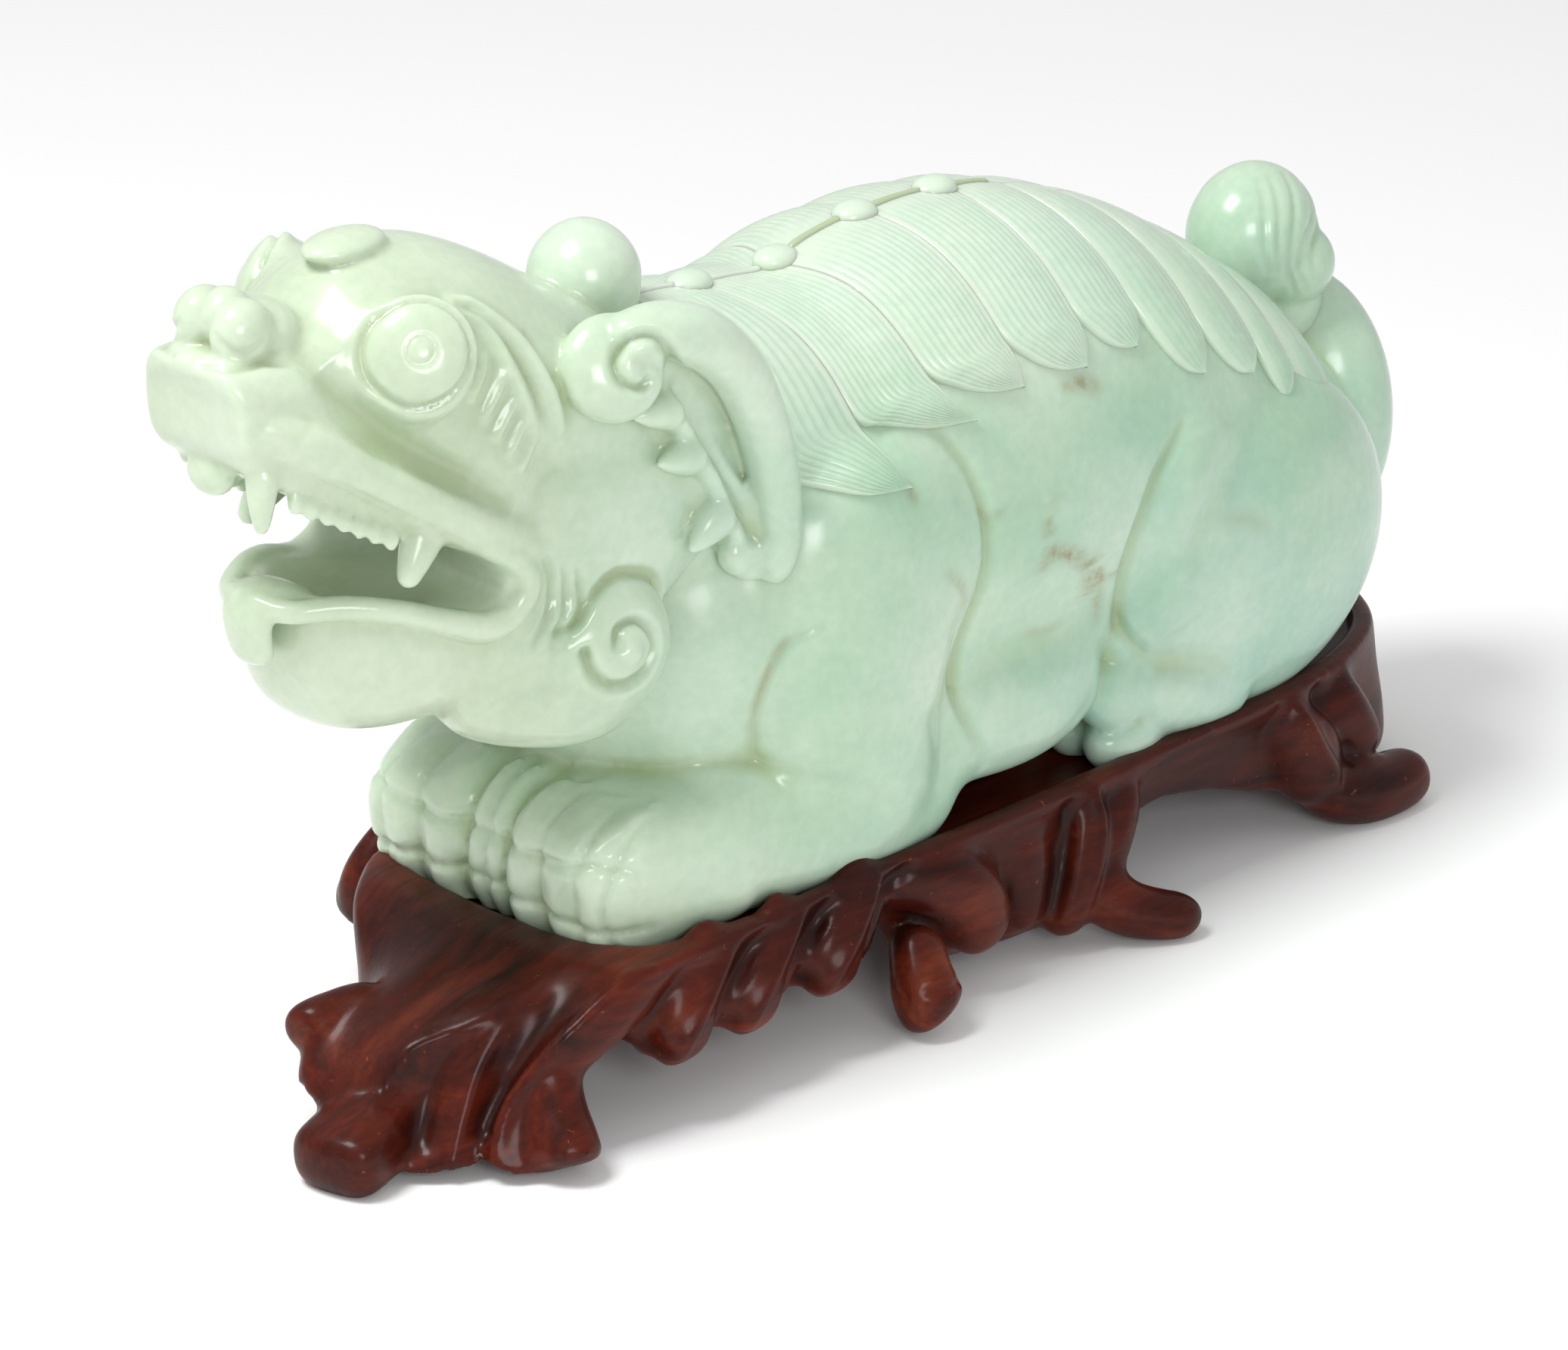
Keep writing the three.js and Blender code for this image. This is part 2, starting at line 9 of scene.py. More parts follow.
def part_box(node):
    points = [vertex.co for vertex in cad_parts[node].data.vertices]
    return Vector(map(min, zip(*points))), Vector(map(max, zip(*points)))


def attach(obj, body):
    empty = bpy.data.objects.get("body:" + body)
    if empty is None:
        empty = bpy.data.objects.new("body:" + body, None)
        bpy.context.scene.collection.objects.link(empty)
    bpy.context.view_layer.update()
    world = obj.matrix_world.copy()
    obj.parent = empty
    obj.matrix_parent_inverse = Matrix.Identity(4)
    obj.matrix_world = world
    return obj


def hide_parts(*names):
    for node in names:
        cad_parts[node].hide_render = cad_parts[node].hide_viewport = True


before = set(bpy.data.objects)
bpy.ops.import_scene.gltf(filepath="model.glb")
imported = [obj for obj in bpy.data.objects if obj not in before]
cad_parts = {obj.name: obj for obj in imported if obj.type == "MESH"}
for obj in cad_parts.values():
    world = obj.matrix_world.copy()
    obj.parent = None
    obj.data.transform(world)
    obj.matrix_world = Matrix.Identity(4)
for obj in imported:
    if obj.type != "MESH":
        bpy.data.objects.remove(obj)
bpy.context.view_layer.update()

# The beast's trunk, shoulders, haunches and folded legs: one block of pale green hardstone, roughed out
# in full rounded masses, then ground smooth and polished. Sizes are in millimetres, with the head
# towards -X, and are measured from the middle of the stand.
NOSE_X = -118.0
MM = 0.001
DRAWING_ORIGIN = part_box("hardstone_beast")[0].x - NOSE_X * MM
NEAR, FAR = -1, 1
PAIR = (NEAR, FAR)
BEAST_BASE = 27.3


def spline(points, t):
    points = np.asarray(points, float)
    at = np.clip(t, 0, 1) * (len(points) - 1)
    i = np.minimum(at.astype(int), len(points) - 2)
    f = (at - i)[:, None]
    ends = np.vstack([2 * points[0] - points[1], points, 2 * points[-1] - points[-2]])
    a, b, c, d = ends[i], ends[i + 1], ends[i + 2], ends[i + 3]
    return b + 0.5 * f * (c - a + f * (2 * a - 5 * b + 4 * c - d + f * (3 * (b - c) + d - a)))


# A ball drawn out along a path. Each station is x, y, z, half width, half height. Upright sections stay
# in the YZ plane, others are square to the path. A square above 2 gives flatter sides.
def drawn(bm, stations, around=28, along=24, caps=(0.12, 0.12), square=2.0, upright=False):
    made = bmesh.ops.create_uvsphere(bm, u_segments=around, v_segments=along, radius=1)["verts"]
    ball = np.array([v.co for v in made])
    t = np.clip((1 - ball[:, 2]) / 2, 0, 1)
    turn = np.arctan2(ball[:, 1], ball[:, 0])
    stations = np.asarray(stations, float)
    centre = spline(stations[:, :3], t)
    size = spline(stations[:, 3:], t)
    if upright:
        ahead = np.tile([1.0, 0, 0], (len(t), 1))
    else:
        ahead = spline(stations[:, :3], np.minimum(t + 0.01, 1)) - spline(stations[:, :3], np.maximum(t - 0.01, 0))
        ahead /= np.linalg.norm(ahead, axis=1, keepdims=True)
    level = np.array([0, 1.0, 0])
    across = level - ahead * (ahead @ level)[:, None]
    across /= np.linalg.norm(across, axis=1, keepdims=True)
    up = np.cross(across, ahead)
    start = np.sqrt(1 - np.clip((caps[0] - t) / caps[0], 0, 1) ** 2)
    end = np.sqrt(1 - np.clip((caps[1] - 1 + t) / caps[1], 0, 1) ** 2)
    c, s = np.cos(turn), np.sin(turn)
    wide = np.sign(c) * np.abs(c) ** (2 / square) * size[:, 0] * start * end
    tall = np.sign(s) * np.abs(s) ** (2 / square) * size[:, 1] * start * end
    place = centre + across * wide[:, None] + up * tall[:, None]
    for v, p in zip(made, place):
        v.co = p
    bmesh.ops.recalc_face_normals(bm, faces=list({f for v in made for f in v.link_faces}))


def midline(bm, sections, rise=0.0, **shape):
    drawn(bm, [(x, 0, z, w + rise, h + rise) for x, z, w, h in sections], upright=True, **shape)


# An ellipsoid whose first radius lies along `facing`.
def egg(bm, centre, radii, facing=(1, 0, 0), around=24, along=16):
    ahead = Vector(facing).normalized()
    across = Vector((0, 0, 1)).cross(ahead).normalized()
    turned = Matrix((ahead, across, ahead.cross(across))).transposed().to_4x4()
    place = Matrix.Translation(centre) @ turned @ Matrix.Diagonal((*radii, 1))
    bmesh.ops.create_uvsphere(bm, u_segments=around, v_segments=along, radius=1, matrix=place)


def stone_from(bm, name):
    mesh = bpy.data.meshes.new(name)
    bm.to_mesh(mesh)
    bm.free()
    stone = bpy.data.objects.new(name, mesh)
    bpy.context.scene.collection.objects.link(stone)
    return stone


def added_to(stone, bm):
    bm.from_mesh(stone.data)
    bm.to_mesh(stone.data)
    bm.free()


def settled(stone):
    graph = bpy.context.evaluated_depsgraph_get()
    mesh = bpy.data.meshes.new_from_object(stone.evaluated_get(graph))
    stone.modifiers.clear()
    stone.data = mesh
    return mesh


def fused(stone, grain):
    remesh = stone.modifiers.new("fused", "REMESH")
    remesh.mode = "VOXEL"
    remesh.voxel_size = grain
    return settled(stone)


def points_of(mesh):
    co = np.empty(len(mesh.vertices) * 3)
    mesh.vertices.foreach_get("co", co)
    return co.reshape(-1, 3)


def moved_to(mesh, co):
    mesh.vertices.foreach_set("co", co.ravel())
    mesh.update()


# Rounds of smoothing, as the stone is ground down. `where` limits it to a share at each point.
def ground(mesh, rounds, where=None):
    co = points_of(mesh)
    pairs = np.empty(len(mesh.edges) * 2, int)
    mesh.edges.foreach_get("vertices", pairs)
    a, b = pairs.reshape(-1, 2).T
    count = np.bincount(np.concatenate([a, b]), minlength=len(co))[:, None]
    share = 0.6 if where is None else 0.6 * where[:, None]
    for _ in range(rounds):
        total = np.stack([np.bincount(a, co[b, k], len(co)) + np.bincount(b, co[a, k], len(co)) for k in range(3)], 1)
        co = co + share * (total / count - co)
    moved_to(mesh, co)


def cut_flat(stone, height):
    bm = bmesh.new()
    bm.from_mesh(stone.data)
    geom = bm.verts[:] + bm.edges[:] + bm.faces[:]
    cut = bmesh.ops.bisect_plane(bm, geom=geom, plane_co=(0, 0, height), plane_no=(0, 0, -1), clear_outer=True)
    edges = [e for e in cut["geom_cut"] if isinstance(e, bmesh.types.BMEdge)]
    bmesh.ops.holes_fill(bm, edges=edges, sides=0)
    bm.to_mesh(stone.data)
    bm.free()


# Lines cut into the stone, or raised on it where the depth is below zero. A line's points are (x, z) as
# seen from the side, or (x, distance out from the middle, z) close to the surface.
def strokes(mesh, lines):
    co = points_of(mesh)
    tree = BVHTree.FromPolygons(co.tolist(), [tuple(p.vertices) for p in mesh.polygons])
    push = np.zeros(len(co))
    for path, width, depth, ends, sides in lines:
        for side in sides:
            found = []
            for p in spline(path, np.linspace(0, 1, 10 * len(path))):
                if len(p) == 2:
                    found.append(tree.ray_cast(Vector((p[0], side * 80, p[1])), Vector((0, -side, 0)))[0])
                else:
                    found.append(tree.find_nearest(Vector((p[0], side * p[1], p[2])))[0])
            share = np.array([n / (len(found) - 1) for n, p in enumerate(found) if p is not None])
            line = np.array([p for p in found if p is not None])
            if len(line) < 2:
                continue
            reach = 3 * width
            near = np.nonzero(((co > line.min(0) - reach) & (co < line.max(0) + reach)).all(1))[0]
            along = (line[1:] - line[:-1])[None]
            start = co[near][:, None, :] - line[None, :-1]
            part = np.clip((start * along).sum(2) / np.maximum((along ** 2).sum(2), 1e-9), 0, 1)
            gap = np.linalg.norm(start - part[..., None] * along, axis=2)
            closest = gap.argmin(1)
            row = np.arange(len(near))
            at = share[closest] + part[row, closest] * (share[1:] - share[:-1])[closest]
            gap = gap[row, closest]
            fade = np.clip(at / max(ends[0], 1e-3), 0, 1) * np.clip((1 - at) / max(ends[1], 1e-3), 0, 1)
            push[near] += depth * np.sqrt(fade) * np.exp(-((gap / width) ** 2))
    return push


def carved(mesh, lines):
    co = points_of(mesh)
    normal = np.empty(len(co) * 3)
    mesh.vertices.foreach_get("normal", normal)
    moved_to(mesh, co - normal.reshape(-1, 3) * strokes(mesh, lines)[:, None])


def stained(mesh, lines):
    mark = mesh.attributes.new("stain", "FLOAT", "POINT")
    mark.data.foreach_set("value", np.clip(strokes(mesh, lines), 0, 1).astype(np.float32))


def ring(centre, facing, radius, points=17):
    ahead = Vector(facing).normalized()
    across = Vector((0, 0, 1)).cross(ahead).normalized()
    up = ahead.cross(across)
    turns = np.linspace(0, 2 * math.pi, points)
    return [tuple(Vector(centre) + across * radius * math.cos(t) + up * radius * math.sin(t)) for t in turns]


def placed(stone):
    stone.data.transform(Matrix.Translation((DRAWING_ORIGIN, 0, 0)) @ Matrix.Scale(MM, 4))


# Marks how far each point stands out on an edge (above a half) or lies in a hollow (below it). The materials use it for
# painted shade in hollows, a painted highlight on the stone's edges, and the wood's rubbed edges.
def wear_and_painted_light(mesh, reach):
    co = points_of(mesh)
    normal = np.empty(len(co) * 3)
    mesh.vertices.foreach_get("normal", normal)
    pairs = np.empty(len(mesh.edges) * 2, int)
    mesh.edges.foreach_get("vertices", pairs)
    a, b = pairs.reshape(-1, 2).T
    count = np.bincount(np.concatenate([a, b]), minlength=len(co))

    def spread(values):
        return (np.bincount(a, values[b], len(co)) + np.bincount(b, values[a], len(co))) / count

    mean = np.stack([spread(co[:, k]) for k in range(3)], 1)
    out = ((co - mean) * normal.reshape(-1, 3)).sum(1)
    for _ in range(6):
        out = spread(out)
    mark = mesh.attributes.new("wear_and_painted_light", "FLOAT", "POINT")
    mark.data.foreach_set("value", np.clip(0.5 + out / reach, 0, 1).astype(np.float32))


def thinned(stone, triangles):
    now = sum(len(p.vertices) - 2 for p in stone.data.polygons)
    if now > triangles:
        fewer = stone.modifiers.new("thinned", "DECIMATE")
        fewer.ratio = triangles / now
        settled(stone)


TRUNK = [
    (-46, 66, 22, 26),
    (-30, 70, 30, 35),
    (-8, 75, 36, 42.5),
    (15, 79.5, 39, 47.5),
    (38, 81, 40, 48.5),
    (62, 79.5, 40, 47.5),
    (88, 74, 40, 44),
    (112, 66, 37, 37.5),
    (132, 58, 31, 30),
    (146, 54, 22, 24),
]
NECK = [(20, 88, 35, 35), (-6, 95, 32, 31), (-30, 103, 28, 26), (-56, 110, 25, 24)]

masses = bmesh.new()
midline(masses, TRUNK, around=48, along=48, caps=(0.1, 0.1))
midline(masses, NECK, around=48, along=32, caps=(0.2, 0.2))
for side in PAIR:
    drawn(masses, [
        (8, side * 23, 50, 13, 13),
        (26, side * 23.5, 48.5, 15, 15),
        (44, side * 23.5, 48, 15.2, 15),
        (60, side * 22, 51, 12, 12),
    ], caps=(0.15, 0.15), square=2.3)
    drawn(masses, [
        (2, side * 27, 106, 8, 13),
        (0, side * 29, 90, 12, 21),
        (-3, side * 30, 68, 12.5, 21),
        (-2, side * 30, 50, 12, 19),
        (4, side * 29, 30, 10, 19),
    ], caps=(0.18, 0.12))
    drawn(masses, [
        (18, side * 28, 38, 10, 12),
        (-4, side * 27, 39, 11.5, 13),
        (-26, side * 23, 40, 14, 14),
        (-42, side * 19, 42, 15, 14),
    ], caps=(0.15, 0.2), square=2.4)
    egg(masses, (12, side * 29.5, 39), (12, 8.5, 13))
body = stone_from(masses, "beast_body")
fused(body, 1.3)
ground(body.data, 14)
skin = BVHTree.FromPolygons(points_of(body.data).tolist(), [tuple(p.vertices) for p in body.data.polygons])

# Toes of a forepaw: distance out, half width, how far forward it reaches.
TOES = [(2.2, 4.6, 0), (10, 6.6, 1.8), (19.4, 6, 1.6), (27, 5.2, -1.4)]
limbs = bmesh.new()
for side in PAIR:
    egg(limbs, (96, side * 28, 60), (40, 15, 33), facing=(1, 0, -0.2), around=48, along=32)
    drawn(limbs, [
        (96, side * 31, 35, 7, 8),
        (84, side * 31, 37, 8.5, 9.5),
        (74, side * 30, 39, 9, 10),
        (67, side * 28, 40, 8.5, 9.5),
    ])
    for out in (13.5, 22.5, 31.5):
        egg(limbs, (66, side * (out - 0.5), 40), (9.5, 5.6, 8.5))
        egg(limbs, (65.8, side * (out + 0.3), 31.5), (9, 5.4, 6))
    for out, half, reach in TOES:
        egg(limbs, (-46.6 - reach, side * out, 37), (12.6, half, 15.4))
    drawn(limbs, [
        (-59.4, side * 15, 36, 9, 8),
        (-55.4, side * 15.6, 36.6, 14, 11.8),
        (-47, side * 16.6, 38, 16.6, 14),
        (-34, side * 18.4, 39.5, 18, 14),
        (-16, side * 21, 40, 18, 14),
    ], square=2.8, caps=(0.16, 0.2), around=48, along=40)
    drawn(limbs, [
        (-9, side * 27, 79, 1.5, 1.5),
        (-13.5, side * 28.5, 72, 5, 4.5),
        (-16, side * 28, 62, 6, 5.5),
        (-15, side * 27, 52, 5, 5),
        (-10, side * 26, 43, 2, 3),
    ])
egg(limbs, (148, 0, 64), (13.5, 20, 27), around=48, along=32)
added_to(body, limbs)
fused(body, 0.9)
ground(body.data, 4)

TOE_EDGES = [4.8, 15.0, 23.6, 30.2]
toe_lines = [
    ([(-46, out, 53), (-53, out, 49), (-57.5, out, 42), (-59, out, 36), (-58, out + 0.5, 31), (-56, out + 1, 27)],
     0.65, 0.9, (0.3, 0), PAIR) for out in TOE_EDGES
]
toe_tips = [
    ([(-45.5, first + 1, 53.5), (-46.5, (first + last) / 2, 53.5), (-45.5, last - 1, 53.5)], 0.5, 0.5, (0.3, 0.3), PAIR)
    for first, last in zip([0] + TOE_EDGES[:-1], TOE_EDGES)
]
carved(body.data, toe_lines + toe_tips + [
    ([(-57, 0.5, 43), (-60, 8, 43), (-60, 16, 43.2), (-57, 24, 43.8), (-51, 32, 43.4)], 0.7, 1.0, (0, 0.15), PAIR),
    ([(-57, 0.5, 34.4), (-60, 8, 34.2), (-60, 16, 34), (-57, 24, 33.6), (-49, 33, 33)], 0.7, 1.1, (0, 0.1), PAIR),
    ([(73, 92), (64, 83), (58.2, 70), (59, 60), (63, 52), (69, 46)], 1.1, 1.5, (0.2, 0.2), PAIR),
    ([(82, 90), (74, 82), (68.5, 71), (69, 61), (73, 53)], 6, -2.2, (0.3, 0.3), PAIR),
    ([(13, 107), (20.5, 95), (22.5, 80), (18, 66), (18, 56), (21, 48), (26, 39)], 1.2, 1.5, (0.25, 0.2), PAIR),
    ([(5, 105), (12, 94), (14, 80), (9.5, 66), (9, 56)], 5, -1.6, (0.3, 0.3), PAIR),
    ([(-10, 28, 79), (-21.5, 28, 68), (-22.5, 27, 58), (-17, 27, 46)], 0.7, 0.9, (0.1, 0.5), PAIR),
    ([(-48, 10, 54), (-30, 24, 54.5), (-14, 34, 52), (-2, 40, 46)], 1.0, 0.6, (0.2, 0.5), PAIR),
    ([(57, 20, 35), (57.5, 28, 35), (60, 35, 35), (68, 38, 36.5)], 0.6, 0.8, (0.1, 0.3), PAIR),
    ([(71, 30, 49), (77, 34, 46.5), (86, 39, 44)], 3.2, 1.3, (0.2, 0.6), PAIR),
])
ground(body.data, 1)
cut_flat(body, BEAST_BASE)
thinned(body, 190000)
wear_and_painted_light(body.data, 0.12)
stained(body.data, [
    ([(44, 104), (49.5, 103.5), (54, 101)], 1.6, 0.7, (0.4, 0.4), (NEAR,)),
    ([(10, 82), (14.5, 77.9), (17, 73)], 1.1, 0.5, (0.4, 0.4), (NEAR,)),
    ([(34, 73), (39, 76.5), (46, 73), (49.6, 69.7), (52, 64), (54.5, 57)], 1.4, 0.85, (0.3, 0.3), (NEAR,)),
    ([(39, 76), (37, 82), (40, 88)], 0.7, 0.55, (0.2, 0.4), (NEAR,)),
    ([(48, 70), (54, 67.5), (58, 69)], 0.8, 0.5, (0.2, 0.4), (NEAR,)),
    ([(33, 63), (39, 61), (45, 61.5)], 0.9, 0.4, (0.4, 0.4), (NEAR,)),
    ([(78, 72), (86, 70), (92, 66)], 1.6, 0.3, (0.4, 0.4), (NEAR,)),
    ([(23, 87), (27, 87.5)], 1.0, 0.45, (0.4, 0.4), (NEAR,)),
    ([(56, 62), (59.7, 58.3), (61, 52)], 1.0, 0.4, (0.4, 0.4), (NEAR,)),
    ([(4, 99), (4, 97.6), (5, 94)], 1.2, 0.5, (0.4, 0.4), (NEAR,)),
    ([(20, 89), (22.1, 88), (24, 84)], 0.8, 0.45, (0.3, 0.3), (NEAR,)),
    ([(-15, 28, 79), (-21, 28, 70), (-22, 27, 62)], 0.8, 0.45, (0.2, 0.5), (NEAR,)),
])
placed(body)


# The polished hardstone: pale yellow-green clouded with white and cooler green, a little translucent,
# crossed by a few faint brown veins where the stone is flawed.
def node(tree, kind, **settings):
    made = tree.nodes.new(kind)
    for key, value in settings.items():
        if key in made.inputs.keys():
            made.inputs[key].default_value = value
        else:
            setattr(made, key, value)
    return made


def ramp(tree, source, stops):
    made = tree.nodes.new("ShaderNodeValToRGB")
    while len(made.color_ramp.elements) < len(stops):
        made.color_ramp.elements.new(0.5)
    for element, (place, colour) in zip(made.color_ramp.elements, stops):
        element.position = place
        element.color = (*colour, 1)
    tree.links.new(source, made.inputs[0])
    return made.outputs[0]


def blended(tree, share, first, second, how="MIX"):
    made = tree.nodes.new("ShaderNodeMix")
    made.data_type = "RGBA"
    made.blend_type = how
    for socket, value in ((made.inputs[0], share), (made.inputs[6], first), (made.inputs[7], second)):
        if isinstance(value, bpy.types.NodeSocket):
            tree.links.new(value, socket)
        elif isinstance(value, tuple):
            socket.default_value = (*value, 1)
        else:
            socket.default_value = value
    return made.outputs[2]


PALE = (0.485, 0.575, 0.42)
GREEN = (0.38, 0.56, 0.41)
CLOUD = (0.63, 0.71, 0.58)
MILKY = (0.74, 0.80, 0.67)
COOL = (0.34, 0.54, 0.45)
# The dark olive hollow colour is painted shade for the stone's hollows.
HOLLOW_SHADE = (0.34, 0.43, 0.22)
VEIN = (0.25, 0.19, 0.06)

hardstone = bpy.data.materials.new("hardstone")
hardstone.use_nodes = True
tree = hardstone.node_tree
tree.nodes.clear()
place = node(tree, "ShaderNodeTexCoord").outputs["Object"]
clouds = node(tree, "ShaderNodeTexNoise", Scale=30.0, Detail=5.0, Roughness=0.55)
drift = node(tree, "ShaderNodeTexNoise", Scale=14.0, Detail=3.0)
grains = node(tree, "ShaderNodeTexNoise", Scale=500.0, Detail=3.0)
ripples = node(tree, "ShaderNodeTexNoise", Scale=220.0, Detail=2.0)
for texture in (clouds, drift, grains, ripples):
    tree.links.new(place, texture.inputs["Vector"])
along_body = node(tree, "ShaderNodeSeparateXYZ")
tree.links.new(place, along_body.inputs[0])
from_head = node(tree, "ShaderNodeMapRange")
tree.links.new(along_body.outputs[0], from_head.inputs[0])
for socket, value in zip(from_head.inputs[1:5], (-0.10, -0.02, 0.0, 1.0)):
    socket.default_value = value
BODY_TINT = blended(tree, ramp(tree, drift.outputs[0], [(0.38, (0, 0, 0)), (0.62, (1, 1, 1))]), GREEN, COOL)
tint = blended(tree, from_head.outputs[0], PALE, BODY_TINT)
upward = node(tree, "ShaderNodeMapRange")
tree.links.new(along_body.outputs[2], upward.inputs[0])
for socket, value in zip(upward.inputs[1:5], (0.10, 0.14, 0.0, 0.6)):
    socket.default_value = value
tint = blended(tree, blended(tree, 1.0, upward.outputs[0], from_head.outputs[0], "MULTIPLY"), tint, MILKY)
cloudy = ramp(tree, clouds.outputs[0], [(0.38, (0, 0, 0)), (0.72, (0.7, 0.7, 0.7))])
colour = blended(tree, cloudy, tint, CLOUD)
speckle = ramp(tree, grains.outputs[0], [(0.35, (0.94, 0.96, 0.94)), (0.7, (1.04, 1.04, 1.04))])
colour = blended(tree, 0.8, colour, speckle, "MULTIPLY")
wear_and_light = node(tree, "ShaderNodeAttribute", attribute_name="wear_and_painted_light").outputs["Fac"]
# Painted shade: the stone's colour is darkened in its hollows, where shade falls.
painted_shade_in_hollows = ramp(tree, wear_and_light, [(0.0, (0.75, 0.75, 0.75)), (0.47, (0, 0, 0))])
colour = blended(tree, painted_shade_in_hollows, colour, HOLLOW_SHADE)
# Painted highlight: the stone's colour is lightened towards cloud white on edges that stand out.
edges = ramp(tree, wear_and_light, [(0.56, (0, 0, 0)), (1.0, (0.45, 0.45, 0.45))])
colour = blended(tree, edges, colour, CLOUD)
stain = node(tree, "ShaderNodeAttribute", attribute_name="stain").outputs["Fac"]
patchy = ramp(tree, grains.outputs[0], [(0.35, (0.35, 0.35, 0.35)), (0.65, (1, 1, 1))])
colour = blended(tree, blended(tree, 1.0, stain, patchy, "MULTIPLY"), colour, VEIN)
polish = node(tree, "ShaderNodeBsdfPrincipled", Roughness=0.24)
polish.inputs["Subsurface Weight"].default_value = 0.5
polish.inputs["Subsurface Radius"].default_value = (0.7, 1.0, 0.75)
polish.inputs["Subsurface Scale"].default_value = 0.0022
polish.inputs["IOR"].default_value = 1.55
gloss = node(tree, "ShaderNodeMapRange")
tree.links.new(clouds.outputs[0], gloss.inputs[0])
gloss.inputs[3].default_value = 0.13
gloss.inputs[4].default_value = 0.27
tree.links.new(gloss.outputs[0], polish.inputs["Roughness"])
uneven = node(tree, "ShaderNodeBump", Strength=0.12, Distance=0.0004)
tree.links.new(ripples.outputs[0], uneven.inputs["Height"])
tree.links.new(uneven.outputs[0], polish.inputs["Normal"])
tree.links.new(colour, polish.inputs["Base Color"])
tree.links.new(polish.outputs[0], node(tree, "ShaderNodeOutputMaterial").inputs[0])


def polished(stone, material, node):
    stone.data.materials.clear()
    stone.data.materials.append(material)
    for polygon in stone.data.polygons:
        polygon.material_index = 0
        polygon.use_smooth = True
    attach(stone, "root")
    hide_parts(node)


polished(body, hardstone, "hardstone_beast")

# The head, cut from the same block: a long muzzle open in a snarl, with rolled lips, a curled chin, round
# eyes, bosses on the forehead, a knob behind them, and ears that end in a scroll.
SKULL = [
    (-108, 139, 11, 5.6),
    (-101, 138, 14.5, 7.0),
    (-96, 136, 16, 12),
    (-91, 134.5, 17.6, 17),
    (-84, 133, 20, 20),
    (-72, 129.5, 23, 22.6),
    (-60, 124, 25, 23),
    (-46, 117, 26, 21.5),
    (-24, 107, 27, 20),
]
UPPER_JAW = [
    (-120, 134.6, 11.5, 9),
    (-108, 129.5, 14.6, 13.6),
    (-96, 125, 18.5, 17),
    (-84, 120, 21.5, 18),
    (-72, 114.5, 24, 18),
    (-54, 110, 25, 20),
]
LOWER_JAW = [
    (-103.4, 91.5, 8, 8.4),
    (-98, 88.6, 13, 13),
    (-90, 87, 18, 13.6),
    (-80, 87, 21.4, 13),
    (-66, 89, 23.5, 16),
]
CHEEKS = [
    (-84, 99, 21, 6),
    (-76, 100, 23.5, 13),
    (-66, 102, 25.5, 21),
    (-54, 104, 27, 26),
    (-40, 104, 28, 28),
    (-24, 102, 29, 28),
]
# The open mouth from the side: along the upper lip, round the corner and back along the lower lip.
GAPE = [
    (-150, 152), (-121.4, 143.5), (-117, 128), (-113, 123.4), (-107.7, 120), (-95.1, 112.2), (-82.3, 106.3), (-75.5, 102.5),
    (-73.2, 98.6), (-75.5, 95.2), (-83, 95.2), (-90.8, 98), (-98.5, 99.6), (-106.3, 99), (-150, 99),
]
heads = bmesh.new()
midline(heads, SKULL, around=40, along=32)
midline(heads, UPPER_JAW, around=48, along=40, square=3.6, caps=(0.02, 0.2))
midline(heads, LOWER_JAW, around=40, along=32, square=2.9, caps=(0.12, 0.2))
midline(heads, CHEEKS, around=40, along=32, square=2.3, caps=(0.08, 0.2))
midline(heads, NECK, around=40, along=32, caps=(0.2, 0.2))
EYE_FACING = (-0.55, 0.72, 0.42)
EYES = {NEAR: (-87.4, -19.6, 140.8), FAR: (-84, 21.5, 141)}
EAR_DROP = {NEAR: 0, FAR: 5}
for side in PAIR:
    ahead = Vector((EYE_FACING[0], side * EYE_FACING[1], EYE_FACING[2])).normalized()
    egg(heads, Vector(EYES[side]) - ahead * 2.7 + Vector((-2.6, 0, -0.8)), (5, 12, 11), facing=ahead, around=32)
    egg(heads, (-64, side * 17, 86), (16, 10, 13))
    egg(heads, (-52.5, side * 24.5, 81.5), (13.2, 8, 12.2))
    drawn(heads, [
        (-46, side * 25, 76, 4, 6),
        (-56, side * 23, 72.5, 6, 7),
        (-68, side * 17, 75, 8, 8),
        (-78, side * 13, 79, 8, 7),
    ])
head = stone_from(heads, "beast_head")
fused(head, 1.0)
ground(head.data, 12)

gape = bmesh.new()
rim = [gape.verts.new((x, -60, z)) for x, z in spline(GAPE, np.linspace(0, 1, 60))]
face = gape.faces.new(rim)
out = bmesh.ops.extrude_face_region(gape, geom=[face])["geom"]
bmesh.ops.translate(gape, vec=(0, 120, 0), verts=[v for v in out if isinstance(v, bmesh.types.BMVert)])
bmesh.ops.recalc_face_normals(gape, faces=gape.faces)
cutter = stone_from(gape, "gape")
throats = bmesh.new()
drawn(throats, [(-104, 0, 104, 6, 6), (-94, 0, 104, 14, 9), (-84, 0, 101.5, 18.5, 9.5), (-72, 0, 99, 17, 8)],
      caps=(0.3, 0.3))
throat = stone_from(throats, "throat")
for tool in (cutter, throat):
    cut = head.modifiers.new("cut", "BOOLEAN")
    cut.object = tool
    cut.operation = "DIFFERENCE"
    cut.solver = "MANIFOLD"
    settled(head)
    bpy.data.objects.remove(tool)

fused(head, 0.8)
ground(head.data, 3)

features = bmesh.new()
